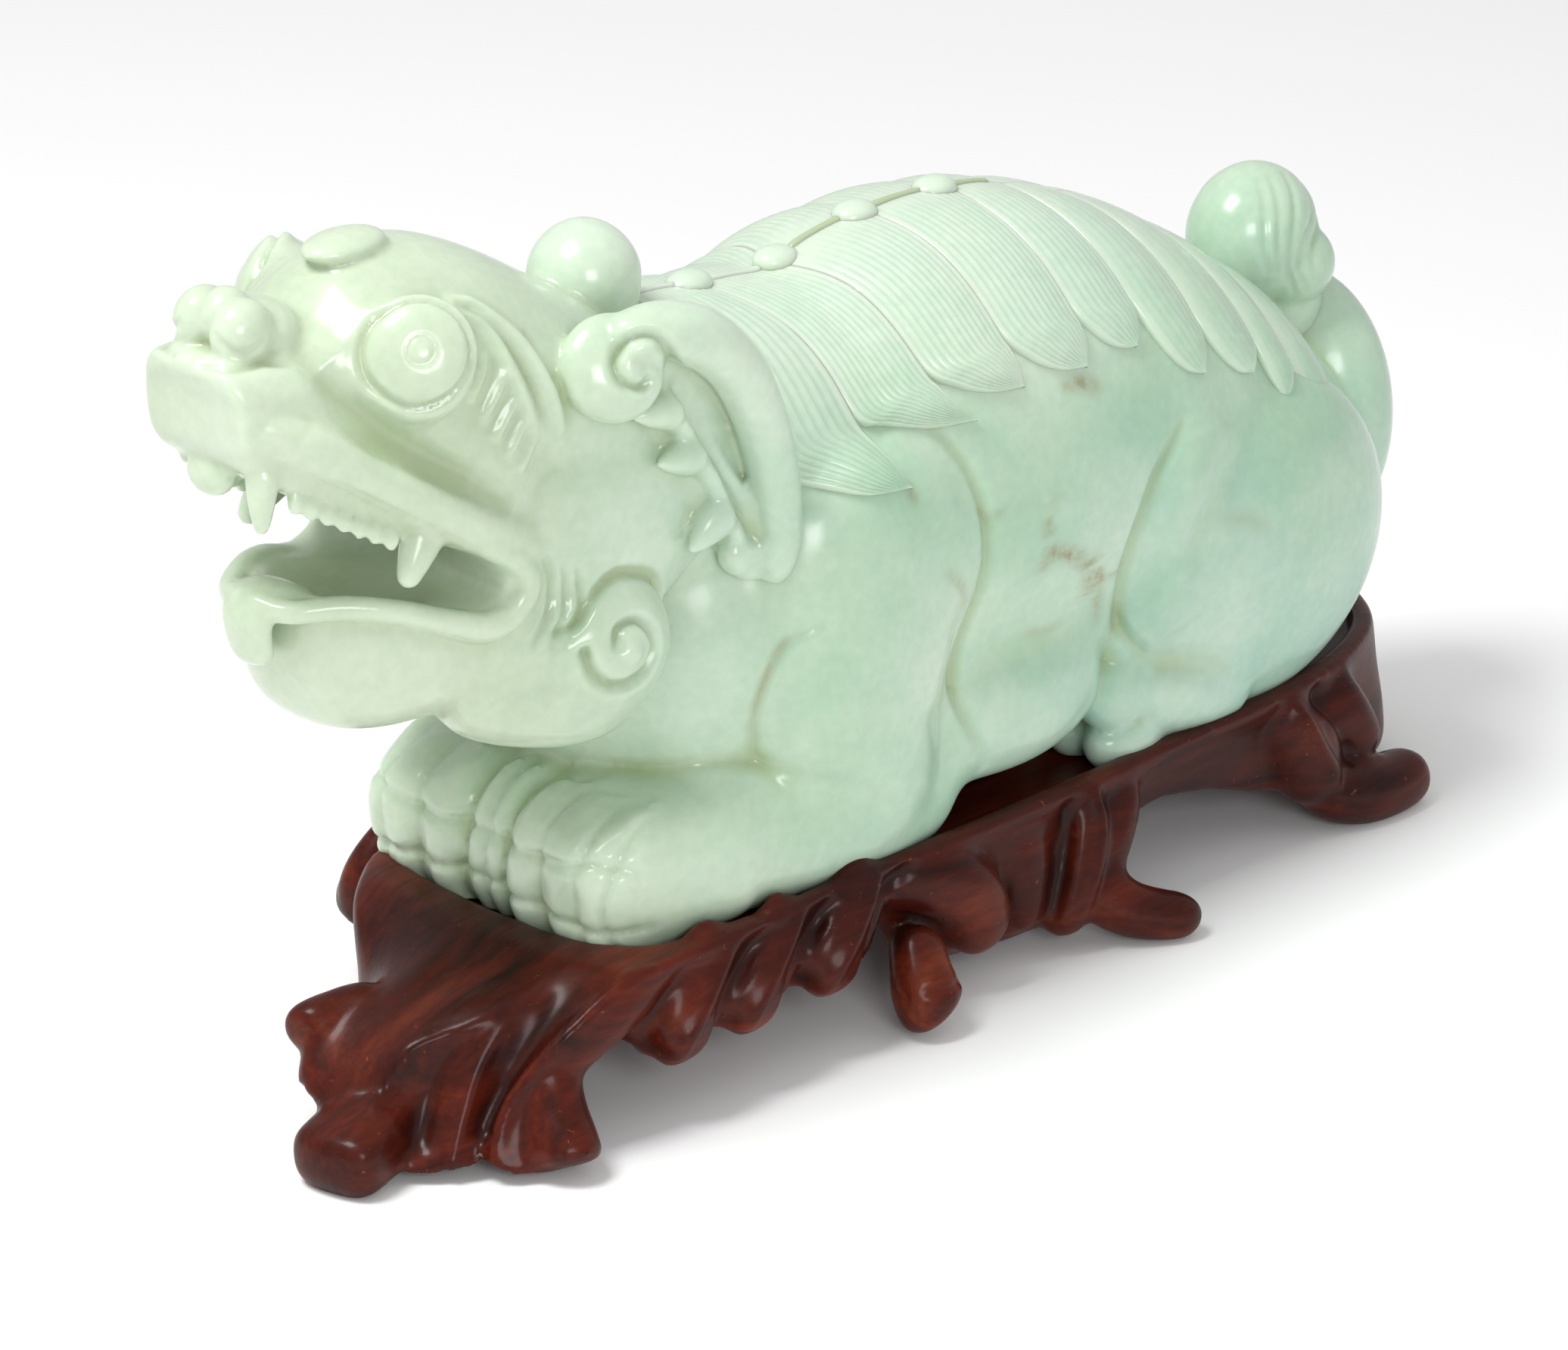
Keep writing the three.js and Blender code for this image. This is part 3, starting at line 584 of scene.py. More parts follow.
# The lower lip is a rolled edge that runs round the chin's front and turns up into the mouth's corner.
for side in PAIR:
    drawn(features, [
        (-107.6, 0, 99, 2.2, 2.2),
        (-105.4, side * 7, 98.2, 2, 2),
        (-98.2, side * 12.2, 98.4, 2.1, 2.1),
        (-90.6, side * 16.6, 96.8, 2.2, 2.1),
        (-83.5, side * 19.6, 94, 2.3, 2.3),
        (-77, side * 22.6, 92, 2.6, 2.6),
        (-71.4, side * 23.6, 94, 2.5, 2.5),
        (-69.2, side * 23.8, 98.6, 2.5, 2.5),
        (-72.4, side * 23.4, 103.2, 2.5, 2.5),
        (-79, side * 22, 107.4, 2.3, 2.3),
    ], around=16, along=64, caps=(0.02, 0.06))
    drawn(features, [
        (-117, side * 9, 134, 2.5, 3.5),
        (-108, side * 13.2, 130, 3.2, 4.2),
        (-96, side * 16.8, 122.5, 3.4, 4.6),
        (-84, side * 19.6, 114, 3.6, 4.8),
        (-73, side * 22, 106.5, 3.4, 4.6),
        (-64, side * 23.4, 100, 2.4, 3.5),
    ], around=20, along=40)
drawn(features, [(-96, 0, 94, 9, 3.5), (-102.5, 0, 98.4, 6.8, 2.8), (-107.4, 0, 97.4, 5.8, 2.7), (-107.6, 0, 92.4, 5, 2.5),
                 (-106, 0, 88, 4.4, 2.4)], along=40)
egg(features, (-110.2, 0, 147.4), (4.8, 4.4, 5.2))
egg(features, (-105.4, 0, 144), (7.6, 8.6, 5.6))
egg(features, (-85.6, 0, 153.4), (8, 5.4, 2.3), facing=(1, 0, 0.03))
egg(features, (-113.8, 0.5, 122.5), (3, 5, 4))
drawn(features, [(-32, 0, 112, 8, 8), (-33, 0, 124, 8.2, 8.2), (-33.5, 0, 135, 9.6, 9.6), (-33.5, 0, 144.8, 9.2, 9.2)],
      caps=(0.1, 0.34))
for side in PAIR:
    egg(features, (-110.8, side * 4.4, 146.2), (5.6, 4.6, 5.6))
    drawn(features, [
        (-112.8, side * 10.6, 126, 3, 2.8),
        (-113.6, side * 11.2, 120.5, 2.4, 2.2),
        (-114.2, side * 11.6, 115, 1.1, 1.1),
    ] if side == NEAR else [(-109, side * 10, 125, 3, 3), (-109.5, side * 10, 120, 2, 2)])
    drawn(features, [
        (-84.5, side * 17.5, 111, 3.6, 4.6),
        (-88.4, side * 18.7, 106.4, 2.8, 3.2),
        (-91.6, side * 19.6, 102, 1.6, 1.6),
    ])
    for n in range(2 if side == FAR else 0, 7):
        egg(features, (-108.4 + n * 2.6, side * (13.2 + n * 0.8), 119.4 - n * 1.52), (1.5, 1.3, 2.2), around=12, along=8)
    eye = EYES[side]
    ahead = Vector((EYE_FACING[0], side * EYE_FACING[1], EYE_FACING[2])).normalized()
    egg(features, eye, (4.3, 9.2, 9.2), facing=ahead, around=40, along=24)
    egg(features, (-53.5, side * 30, 83), (3.2, 3.2, 3.2))
    low = EAR_DROP[side]
    egg(features, (-53, side * 27, 131 - low), (4.5, 9, 9), facing=(-0.35, side * 0.85, 0.4))
    for path, along, caps in (
        ([(-54, 27, 134, 4, 5), (-46, 29, 135.4, 5.2, 5.4), (-38, 31, 133.6, 5.2, 5.2), (-30.5, 32, 127, 4.9, 4.9),
          (-25.5, 32.5, 117.5, 4.6, 4.6), (-22, 32.2, 107, 4.4, 4.4), (-20.2, 31.6, 97, 4.3, 4.3),
          (-20.8, 30.6, 90.5, 4.6, 4.6), (-23.5, 29.6, 87.5, 4.2, 4.2)], 48, (0.06, 0.1)),
        ([(-42, 27.5, 126, 2.4, 2.6), (-37.5, 28, 117, 2.6, 3), (-32.5, 28.6, 108.5, 2.8, 3.2), (-27.5, 29, 100, 3, 3.4),
          (-24.5, 29, 92, 3.2, 3.8), (-23.5, 28.5, 87, 3.4, 3.6)], 40, (0.05, 0.1)),
        ([(-41, 24.5, 133, 3, 7), (-35, 25.4, 120, 3, 9), (-30, 26, 108, 3, 9), (-25.5, 26.5, 95, 3, 7)], 24, (0.12, 0.12)),
        ([(-39, 28, 121, 3, 4.4), (-44, 28.4, 121.5, 2.6, 3), (-50, 28.5, 122, 1.3, 1.2)], 12, (0.2, 0.4)),
        ([(-34.5, 28.6, 112.5, 3, 4.4), (-39.5, 29, 112.5, 2.6, 3), (-45.6, 29.4, 113, 1.3, 1.2)], 12, (0.2, 0.4)),
        ([(-28.5, 29, 101.5, 3, 4.6), (-33, 29.4, 99.5, 2.8, 3.6), (-38.5, 29.6, 95.5, 1.5, 1.6)], 12, (0.2, 0.4)),
        ([(-25, 28.8, 93, 3, 4.4), (-30, 29.2, 90.5, 2.6, 3)], 12, (0.3, 0.4)),
    ):
        drawn(features, [(x, side * y, z - low, w, h) for x, y, z, w, h in path], along=along, caps=caps)
added_to(head, features)
fused(head, 0.58)
ground(head.data, 3)


def eye_ring(side, radius):
    ahead = Vector((EYE_FACING[0], side * EYE_FACING[1], EYE_FACING[2])).normalized()
    centre = Vector(EYES[side]) + ahead * 2.6
    return [(x, side * y, z) for x, y, z in ring(centre, ahead, radius)]


def lowered(side, path):
    return [(x, y, z - EAR_DROP[side]) for x, y, z in path]


lines = []
for side in PAIR:
    lines += [
        (eye_ring(side, 9.5), 0.7, 1.3, (0, 0), (side,)),
        (eye_ring(side, 2.1), 0.4, 0.45, (0, 0), (side,)),
        (lowered(side, [(-44, 30, 126.5), (-43, 31, 131), (-47.4, 31.1, 135.8), (-51.6, 29.8, 136.3), (-54.6, 29.6, 133.6),
                        (-54.4, 30.8, 130), (-51.4, 32, 128.6), (-49.2, 32, 130.4)]), 1.0, 1.9, (0.05, 0.1), (side,)),
        (lowered(side, [(-41.5, 28, 126), (-36, 29.4, 117), (-31.8, 30.2, 109.3), (-28.1, 31.2, 101.8), (-25.4, 31, 94)]),
         1.4, 3.0, (0.12, 0.2), (side,)),
    ]
carved(head.data, lines + [
    ([(-104, 9, 143), (-100.1, 16.2, 134.7), (-94.3, 18.5, 128.1), (-88, 20.4, 123.3), (-79.5, 22.2, 117.4),
      (-71.6, 23.8, 111.9)], 2.6, 2.4, (0.15, 0.3), PAIR),
    ([(-100, 13, 141), (-95, 18, 131.5), (-87, 21, 125.5), (-78, 23, 119)], 4.2, 1.2, (0.2, 0.3), PAIR),
    ([(-107, 14, 131), (-96, 18, 122), (-84, 21, 114), (-73, 23.4, 106.5)], 3.0, -1.0, (0.2, 0.3), PAIR),
    ([(-78, 18, 148.5), (-74, 20.5, 147), (-68.2, 24.1, 139.7), (-64.5, 25, 131.7), (-61.1, 24.5, 121.4)],
     1.5, -1.9, (0.2, 0.3), (NEAR,)),
    ([(-66, 22, 140), (-64, 24.6, 134), (-61, 24.8, 126), (-59.5, 24.5, 119)], 0.9, 0.9, (0.2, 0.4), PAIR),
    ([(-79.7, 18.8, 147), (-73.7, 20.5, 142), (-70.6, 22.5, 134.1), (-68.3, 23.9, 127.5), (-66, 24.5, 121)],
     1.1, -1.4, (0.2, 0.4), PAIR),
    ([(-77, 18.5, 148), (-71, 22.5, 140), (-67.5, 24, 132), (-65, 25, 124)], 0.6, 0.9, (0.1, 0.3), PAIR),
    ([(-74.5, 21.5, 138), (-79, 21.6, 130.5)], 0.85, -1.1, (0.4, 0.3), PAIR),
    ([(-71.5, 22.3, 134.5), (-76.8, 22, 127)], 0.85, -1.1, (0.4, 0.3), PAIR),
    ([(-70, 23.2, 130), (-75, 22.8, 123.5)], 0.85, -1.1, (0.4, 0.3), PAIR),
    ([(-68.4, 23.8, 126), (-73, 23.7, 120)], 0.85, -1.1, (0.4, 0.3), PAIR),
    ([(-66.5, 24.2, 122), (-70.5, 24, 117)], 0.85, -0.9, (0.4, 0.3), PAIR),
    ([(-66.2, 25, 102), (-64.6, 25, 97), (-65.6, 24.6, 92), (-70, 24, 87)], 0.8, 1.2, (0.3, 0.3), PAIR),
    ([(-63, 26, 100), (-61.8, 26, 95.5), (-62.8, 26, 91), (-66.5, 25, 86)], 0.8, 1.1, (0.3, 0.3), PAIR),
    ([(-60, 27, 98), (-59.2, 27, 94), (-60.6, 27, 90.5), (-64, 26.5, 86)], 0.8, 1.0, (0.3, 0.3), PAIR),
    ([(-62.5, 30, 86), (-61, 31, 80.6), (-56.5, 31.5, 77.8), (-50.6, 31.5, 79), (-48.0, 31, 83.4), (-50.5, 30.5, 87.6),
      (-55, 30.5, 87.6), (-56.6, 31, 84)], 1.0, 2.1, (0, 0.1), PAIR),
    ([(-66, 24, 88), (-62.6, 28, 89.5), (-58, 28, 93.4), (-51, 28, 95), (-43, 27, 91.6), (-39, 26, 84), (-41, 26, 74)],
     0.9, 1.4, (0.2, 0.3), PAIR),
    ([(-116.5, 4, 148), (-116, 6.5, 145.4), (-113, 8.6, 144.6), (-109.6, 8.6, 146.4)], 0.7, 0.7, (0.2, 0.2), PAIR),
    ([(-106, 13, 145), (-110, 9.5, 143), (-116, 8, 141.8), (-118, 3, 141.8)], 0.8, 0.8, (0.2, 0), PAIR),
])
ground(head.data, 1)
thinned(head, 190000)
wear_and_painted_light(head.data, 0.12)
stained(head.data, [
    ([(-24, 27, 88), (-22.4, 28, 87), (-19, 29, 88)], 0.5, 0.8, (0.2, 0.2), (NEAR,)),
    ([(-100, 0, 99), (-88, 6, 97), (-76, 8, 96)], 6, 0.3, (0.3, 0.3), PAIR),
])
placed(head)
polished(head, hardstone, "hardstone_beast")
# The mane, cut from the same block: ten strips of fine hair that fall from a beaded ridge along the spine
# and end in flame-shaped locks. Each lock is a thin body over the back, with its hair grooved in.
MANE_AXIS = 78.0
# For each lock: where it starts on the spine, its tip and the notch behind it seen from the side, how
# many strands it has and how deep they are cut.
MANE_FRONT = (-24, (-26, 111))
LOCKS = [
    (-9, (4.6, 97.4), (0, 109), 11, 0.30),
    (10, (24, 103.4), (17, 113), 13, 0.30),
    (32, (36, 106), (35, 115), 13, 0.30),
    (52, (51.6, 105.5), (53, 115), 12, 0.28),
    (66, (65.3, 105.3), (68, 113), 9, 0.24),
    (80, (80.5, 97), (83, 106), 7, 0.14),
    (96, (94.7, 93), (98, 98.5), 6, 0.10),
    (110, (103, 86), (108, 91), 5, 0.08),
    (124, (112, 71), (122, 90), 5, 0.08),
]
LOCK_ROWS = 56
COLUMNS_PER_STRAND = 4
LOCK_RISE = 1.2
LOCK_SWELL = 1.5
LOCK_ROOT = 3.0


def polar(x, z):
    found = skin.ray_cast(Vector((x, -90, z)), Vector((0, 1, 0)))[0]
    return x, math.atan2(-found.y if found else 0, z - MANE_AXIS)


def bend(start, corner, end, s):
    return tuple((1 - s) ** 2 * a + 2 * s * (1 - s) * b + s * s * c for a, b, c in zip(start, corner, end))


mane_bm = bmesh.new()
spine_from, notch_from = MANE_FRONT
for spine_to, tip, notch, strands, groove in LOCKS:
    columns = strands * COLUMNS_PER_STRAND
    fore = (notch_from[0] + (tip[0] - notch_from[0]) * 0.3, tip[1] + (notch_from[1] - tip[1]) * 0.1)
    aft = (notch[0] + 1.5, tip[1] + (notch[1] - tip[1]) * 0.5)
    surface = np.empty((columns + 1, LOCK_ROWS + 1, 3))
    for i in range(columns + 1):
        w = i / columns
        across = []
        for s in (0, 0.35, 0.7, 1):
            front, back = bend(notch_from, fore, tip, s), bend(notch, aft, tip, s)
            across.append(polar(*((1 - w) * a + w * b for a, b in zip(front, back))))
        start = spine_from + (spine_to - spine_from) * w
        edge_x, edge_turn = across[0]
        mid = (start + 0.72 * (edge_x - start), 0.45 * edge_turn)
        path = spline([(start, 0), mid, *across], np.linspace(0, 1, LOCK_ROWS + 1))
        for j, (x, turn) in enumerate(path):
            t = j / LOCK_ROWS
            out = Vector((0, -math.sin(turn), math.cos(turn)))
            found, normal = skin.ray_cast(Vector((x, 0, MANE_AXIS)) + out * 120, -out)[:2]
            hair = 0.5 - 0.5 * math.cos(2 * math.pi * strands * w)
            swell = LOCK_SWELL * (1 - (2 * w - 1) ** 2) * min(1, 0.25 + 1.5 * t)
            lift = (LOCK_RISE + swell) * (1 - max(0, t - 0.55) ** 2 * 3.5)
            lift -= groove * (1 - hair) * min(1, 6 * t) * min(1, 5 * (1 - t))
            surface[i, j] = found + normal * lift
    for side in PAIR:
        made = bmesh.ops.create_grid(mane_bm, x_segments=columns, y_segments=LOCK_ROWS, size=1)["verts"]
        for v in made:
            i, j = round((v.co.x + 1) / 2 * columns), round((v.co.y + 1) / 2 * LOCK_ROWS)
            x, y, z = surface[i, j]
            v.co = (x, y * -side, z)
        faces = list({f for v in made for f in v.link_faces})
        rim = [e for f in faces for e in f.edges if e.is_boundary]
        sunk = bmesh.ops.extrude_edge_only(mane_bm, edges=list(set(rim)))["geom"]
        for v in [g for g in sunk if isinstance(g, bmesh.types.BMVert)]:
            away = Vector((0, v.co.y, v.co.z - MANE_AXIS)).normalized()
            v.co -= away * LOCK_ROOT
        bottom = [e for e in sunk if isinstance(e, bmesh.types.BMEdge) and e.is_boundary]
        bmesh.ops.edgeloop_fill(mane_bm, edges=bottom)
    spine_from, notch_from = spine_to, notch
bmesh.ops.remove_doubles(mane_bm, verts=mane_bm.verts, dist=0.002)
bmesh.ops.recalc_face_normals(mane_bm, faces=mane_bm.faces)


def spine_top(x):
    return skin.ray_cast(Vector((x, 0, 200)), Vector((0, 0, -1)))[0].z


BEADS = (-9.5, 11, 30, 49.5)
beads_bm = bmesh.new()
for x in BEADS:
    egg(beads_bm, (x, 0, spine_top(x) + 1.2), (4.4, 3.6, 2.4))
for first, last in zip((-26,) + BEADS, BEADS + (66,)):
    xs = np.linspace(first + 3, last - 3, 6)
    drawn(beads_bm, [(x, 0, spine_top(x) + LOCK_RISE, 0.9, 0.9) for x in xs], around=12)
mane = stone_from(mane_bm, "beast_mane")
added_to(mane, beads_bm)
wear_and_painted_light(mane.data, 0.12)
placed(mane)
polished(mane, hardstone, "hardstone_beast")

# The tail, cut from the same block: a curled knob of hair over the rump, above a plume pressed to the back.
TAIL_KNOB = (133.5, 0, 101)
TAIL_RADII = (13, 11.5, 13.5)
TAIL_CURL = (138.5, 6, 95.5)
tail_bm = bmesh.new()
egg(tail_bm, TAIL_KNOB, TAIL_RADII, around=64, along=48)
egg(tail_bm, (139, 0, 88), (9, 10, 10), around=48, along=32)
for side in PAIR:
    egg(tail_bm, (TAIL_CURL[0], side * TAIL_CURL[1], TAIL_CURL[2]), (8.2, 7, 7.6), around=48, along=32)
tail = stone_from(tail_bm, "beast_tail")
fused(tail, 0.5)
ground(tail.data, 6)
carved(tail.data, [
    ([(130, 4, 115), (127, 9, 110), (125.5, 11, 103), (126.5, 11, 96)], 0.7, 0.45, (0.3, 0.3), PAIR),
    ([(133, 4, 115), (130.4, 9.5, 110), (128.4, 11.5, 103), (129, 11.5, 96)], 0.7, 0.45, (0.3, 0.3), PAIR),
    ([(137, 4, 114), (134.4, 10, 109), (131.6, 11.5, 103), (131.4, 11.5, 96.5), (134, 11, 90)], 0.8, 0.6, (0.3, 0.3), PAIR),
    ([(142, 3, 111), (139.6, 9, 106), (135, 11.5, 102.5), (133.4, 12, 97), (136, 12, 91)], 0.8, 0.5, (0.3, 0.3), PAIR),
    ([(145, 4, 106), (141.4, 9, 103.4), (137.2, 12, 100), (136, 13, 95.4)], 0.8, 0.5, (0.3, 0.3), PAIR),
])
ground(tail.data, 1)
wear_and_painted_light(tail.data, 0.12)
placed(tail)
polished(tail, hardstone, "hardstone_beast")

# The stand, carved from one piece of dark red-brown rosewood: a recessed tray with a skirt of leaning folds,
# turned-out feet and a folded apron in front. It is rubbed to a satin polish, and worn at its edges.
RIM_TOP = 31.0
RECESS_FLOOR = 26.7
SLAB_BOTTOM = 19.0
RIM_WIDTH = 12.0
RIM_OUTLINE = [
    (-66, 11), (-59, 26), (-40, 36), (0, 40), (60, 40), (108, 38), (138, 28), (152, 8),
    (152, -10), (138, -28), (108, -38), (60, -40), (0, -40), (-46, -41), (-62, -37), (-67, -13),
]
# Along the skirt: x, height of its lower edge, and how far it swells outward there.
SKIRT_EDGE = [
    (-70, 6, 0), (-65, 16, 0), (-58, 13, 0), (-53, 10.7, -0.5), (-46, 13.9, -2), (-41, 12, -1), (-36, 10.5, -0.5),
    (-28, 15.5, -2), (-23, 12.6, -1), (-18, 12, -0.5), (-10, 18, -1.5), (3, 17.5, -1.5), (8, 6, 0), (27, 4, 0),
    (33, 3, 0), (42, 3, 0), (49, 5, 0), (55, 11, 0), (62, 17, 0), (72, 18.4, 0), (86, 15.6, 0), (101, 10, 0),
    (108, 9, 1), (124, 8, 2), (130, 3, 3), (140, 3, 6), (150, 2, 8),
]
SKIRT_LEAN = 10.0
# Rows of the shell from under the tray round to its floor: outward offset, share of the skirt's bulge,
# share of its height, lean.
SHELL_ROWS = [
    (-30, 0, None, 0.5), (-RIM_WIDTH - 0.5, 0, None, 0.5), (-8, 1, 0, 0), (-4.6, 1, 0.03, 0), (-3.6, 1, 0.12, 0.15),
    (-3.4, 0.9, 0.35, 0.35), (-2.8, 0.65, 0.6, 0.6), (-1.2, 0.3, 0.82, 0.82), (0, 0, 0.96, 1), (-0.5, 0, 1, 1),
    (-RIM_WIDTH, 0, 1, 1), (-RIM_WIDTH - 0.4, 0, "floor", 1), (-30, 0, "floor", 1),
]

loop = np.array(RIM_OUTLINE, float)
dense = []
for i in range(len(loop)):
    dense.append(spline([loop[i - 1], loop[i], loop[(i + 1) % 16], loop[(i + 2) % 16]], np.linspace(1 / 3, 2 / 3, 60)[:-1]))
dense = np.concatenate(dense)
steps = np.linalg.norm(np.roll(dense, -1, 0) - dense, axis=1)
length = steps.sum()
shares = np.concatenate([[0], steps.cumsum()[:-1]]) / length


def on_rim(share):
    share = np.mod(share, 1)
    ring = np.vstack([dense, dense[:1]])
    at = [np.interp(share, np.append(shares, 1), ring[:, k]) for k in range(2)]
    ahead = [np.interp(np.mod(share + 0.002, 1), np.append(shares, 1), ring[:, k]) for k in range(2)]
    back = [np.interp(np.mod(share - 0.002, 1), np.append(shares, 1), ring[:, k]) for k in range(2)]
    along = np.stack(ahead, 1) - np.stack(back, 1)
    along /= np.linalg.norm(along, axis=1, keepdims=True)
    return np.stack(at, 1), along


wood = bmesh.new()
AROUND = 720
made = bmesh.ops.create_uvsphere(wood, u_segments=AROUND, v_segments=(len(SHELL_ROWS) - 1) * 3 + 2, radius=1)["verts"]
ball = np.array([v.co for v in made])
turn = np.mod(np.arctan2(ball[:, 1], ball[:, 0]) / (2 * math.pi), 1)
last_row = (len(SHELL_ROWS) - 1) * 3
row = np.clip(np.round(np.arccos(np.clip(-ball[:, 2], -1, 1)) / math.pi * (last_row + 2)) - 1, 0, last_row) / 3
flat_rows = []
for out, swell, height, lean in SHELL_ROWS:
    flat_rows.append((out, swell, 0 if not isinstance(height, (int, float)) else height, lean))
i = np.minimum(row.astype(int), len(SHELL_ROWS) - 2)
f = row - i
table = np.array(flat_rows, float)
kind = np.array([0 if h is None else 2 if h == "floor" else 1 for _, _, h, _ in SHELL_ROWS])
mixed = table[i] * (1 - f[:, None]) + table[i + 1] * f[:, None]
edge_x = on_rim(turn)[0][:, 0]
xs, bottoms, bulges = np.array(SKIRT_EDGE, float).T
bottom = np.interp(edge_x, xs, bottoms)
bulge = np.interp(edge_x, xs, bulges)


def height_at(k):
    hang = bottom + table[k, 2] * (RIM_TOP - bottom)
    return np.where(kind[k] == 0, SLAB_BOTTOM, np.where(kind[k] == 2, RECESS_FLOOR, hang))


level = height_at(i) * (1 - f) + height_at(i + 1) * f
shift = SKIRT_LEAN * mixed[:, 3] * on_rim(turn)[1][:, 0] / length
at, along = on_rim(turn + shift)
away = mixed[:, 0] + mixed[:, 1] * bulge
outward = np.stack([-along[:, 1], along[:, 0]], 1)
for v, p, n, d, z in zip(made, at, outward, away, level):
    v.co = (p[0] + n[0] * d, p[1] + n[1] * d, z)
poles = [max(made, key=lambda v: v.index), min(made, key=lambda v: v.index)]
bmesh.ops.recalc_face_normals(wood, faces=wood.faces)
stand = stone_from(wood, "rosewood_stand")

# Folds and feet: for each, points down its middle with the half thickness and half breadth there.
HANGING = [
    [(-36, 35, 30, 3, 7), (-42, 37, 25, 3.8, 7.4), (-49, 38.4, 18, 4.6, 7), (-54, 38.8, 11, 3.4, 3.4)],
    [(-20, 35, 30, 3, 7), (-26, 37, 25, 3.8, 7.4), (-33, 38.4, 18, 4.6, 7), (-37.6, 38.8, 11, 3.4, 3.4)],
    [(-1, 35, 30.4, 3, 7), (-7, 37, 26, 3.8, 7.4), (-14, 38.6, 19, 4.8, 7.2), (-19.4, 39.2, 12, 3.6, 3.6)],
    [(-1, 34, 24, 3, 4), (10, 37.4, 24, 4.6, 6), (19.6, 38.8, 17, 5.4, 7), (21, 39.2, 7, 4.8, 6.4)],
    [(6, 38, 17, 4, 5), (3.6, 42, 12, 5, 5.4), (2.4, 45, 7.4, 5.6, 6.4), (4.5, 47, 3, 5, 7.2)],
    [(35, 35.4, 28, 3, 5), (35, 36.8, 18, 3.8, 5.4), (34, 37.4, 6, 3.4, 4)],
    [(50, 37, 28.6, 3.4, 4), (48, 38.4, 20, 4.4, 5.4), (44, 39.2, 10, 4.6, 5), (40.4, 39.4, 3.6, 3.6, 4.4)],
    [(61, 36.6, 28, 3, 4), (57.5, 38, 21, 4, 4.2), (52, 39, 13, 4.4, 4.4), (50, 39, 6, 3.4, 4)],
    [(49, 38, 15, 4, 5), (51, 41.5, 9, 5, 5.4), (55, 45, 5.8, 5, 5), (61, 49, 4.2, 4.4, 4.4), (66, 51.4, 3.6, 3.4, 3.8)],
    [(103, 34, 28, 4, 5), (106, 35.6, 22, 5.6, 6), (110, 36, 14, 6.4, 6.6), (115, 36.6, 8.6, 6, 6)],
    [(118, 31, 28, 4, 5), (121, 33, 22, 5.6, 6), (124.6, 34, 15, 6, 6.2), (127, 35, 10, 5, 5)],
    [(110, 35.5, 9, 6, 5), (122, 38.5, 5.5, 6.5, 6), (133, 39, 4.6, 6, 5.6), (140, 38, 5.4, 4.6, 5)],
]
parts = bmesh.new()
for side in PAIR:
    for stations in HANGING:
        drawn(parts, [(x, side * y, z, w, h) for x, y, z, w, h in stations], square=2.2, around=32, caps=(0.2, 0.22))
    egg(parts, (114, side * 33, 18), (14, 7.5, 8), facing=(1, side * -0.15, -0.1))
drawn(parts, [(-74, -33, 18, 4, 5), (-76, -36, 11, 5, 5.4), (-77.5, -39, 6, 6.4, 6), (-78.5, -41, 2, 7.6, 6.4)])
drawn(parts, [(-42, 33, 22, 7, 7), (-43, 36, 13, 6, 7), (-44, 38, 6, 6, 6), (-44, 39, 0, 5, 6)])
drawn(parts, [(-90, -12, 9, 7, 6), (-98, -15, 7, 7.6, 6.4), (-105, -17, 5.6, 8.4, 6.2), (-111.5, -18.4, 5, 8, 5.4)], square=3.2,
      caps=(0.12, 0.16))
drawn(parts, [(-84, -3, 22.6, 3.4, 3), (-90, 0, 20.8, 4, 3.8), (-95.4, 1.6, 19, 4.6, 4.6), (-98.6, 1, 18.6, 4.2, 4.2)])
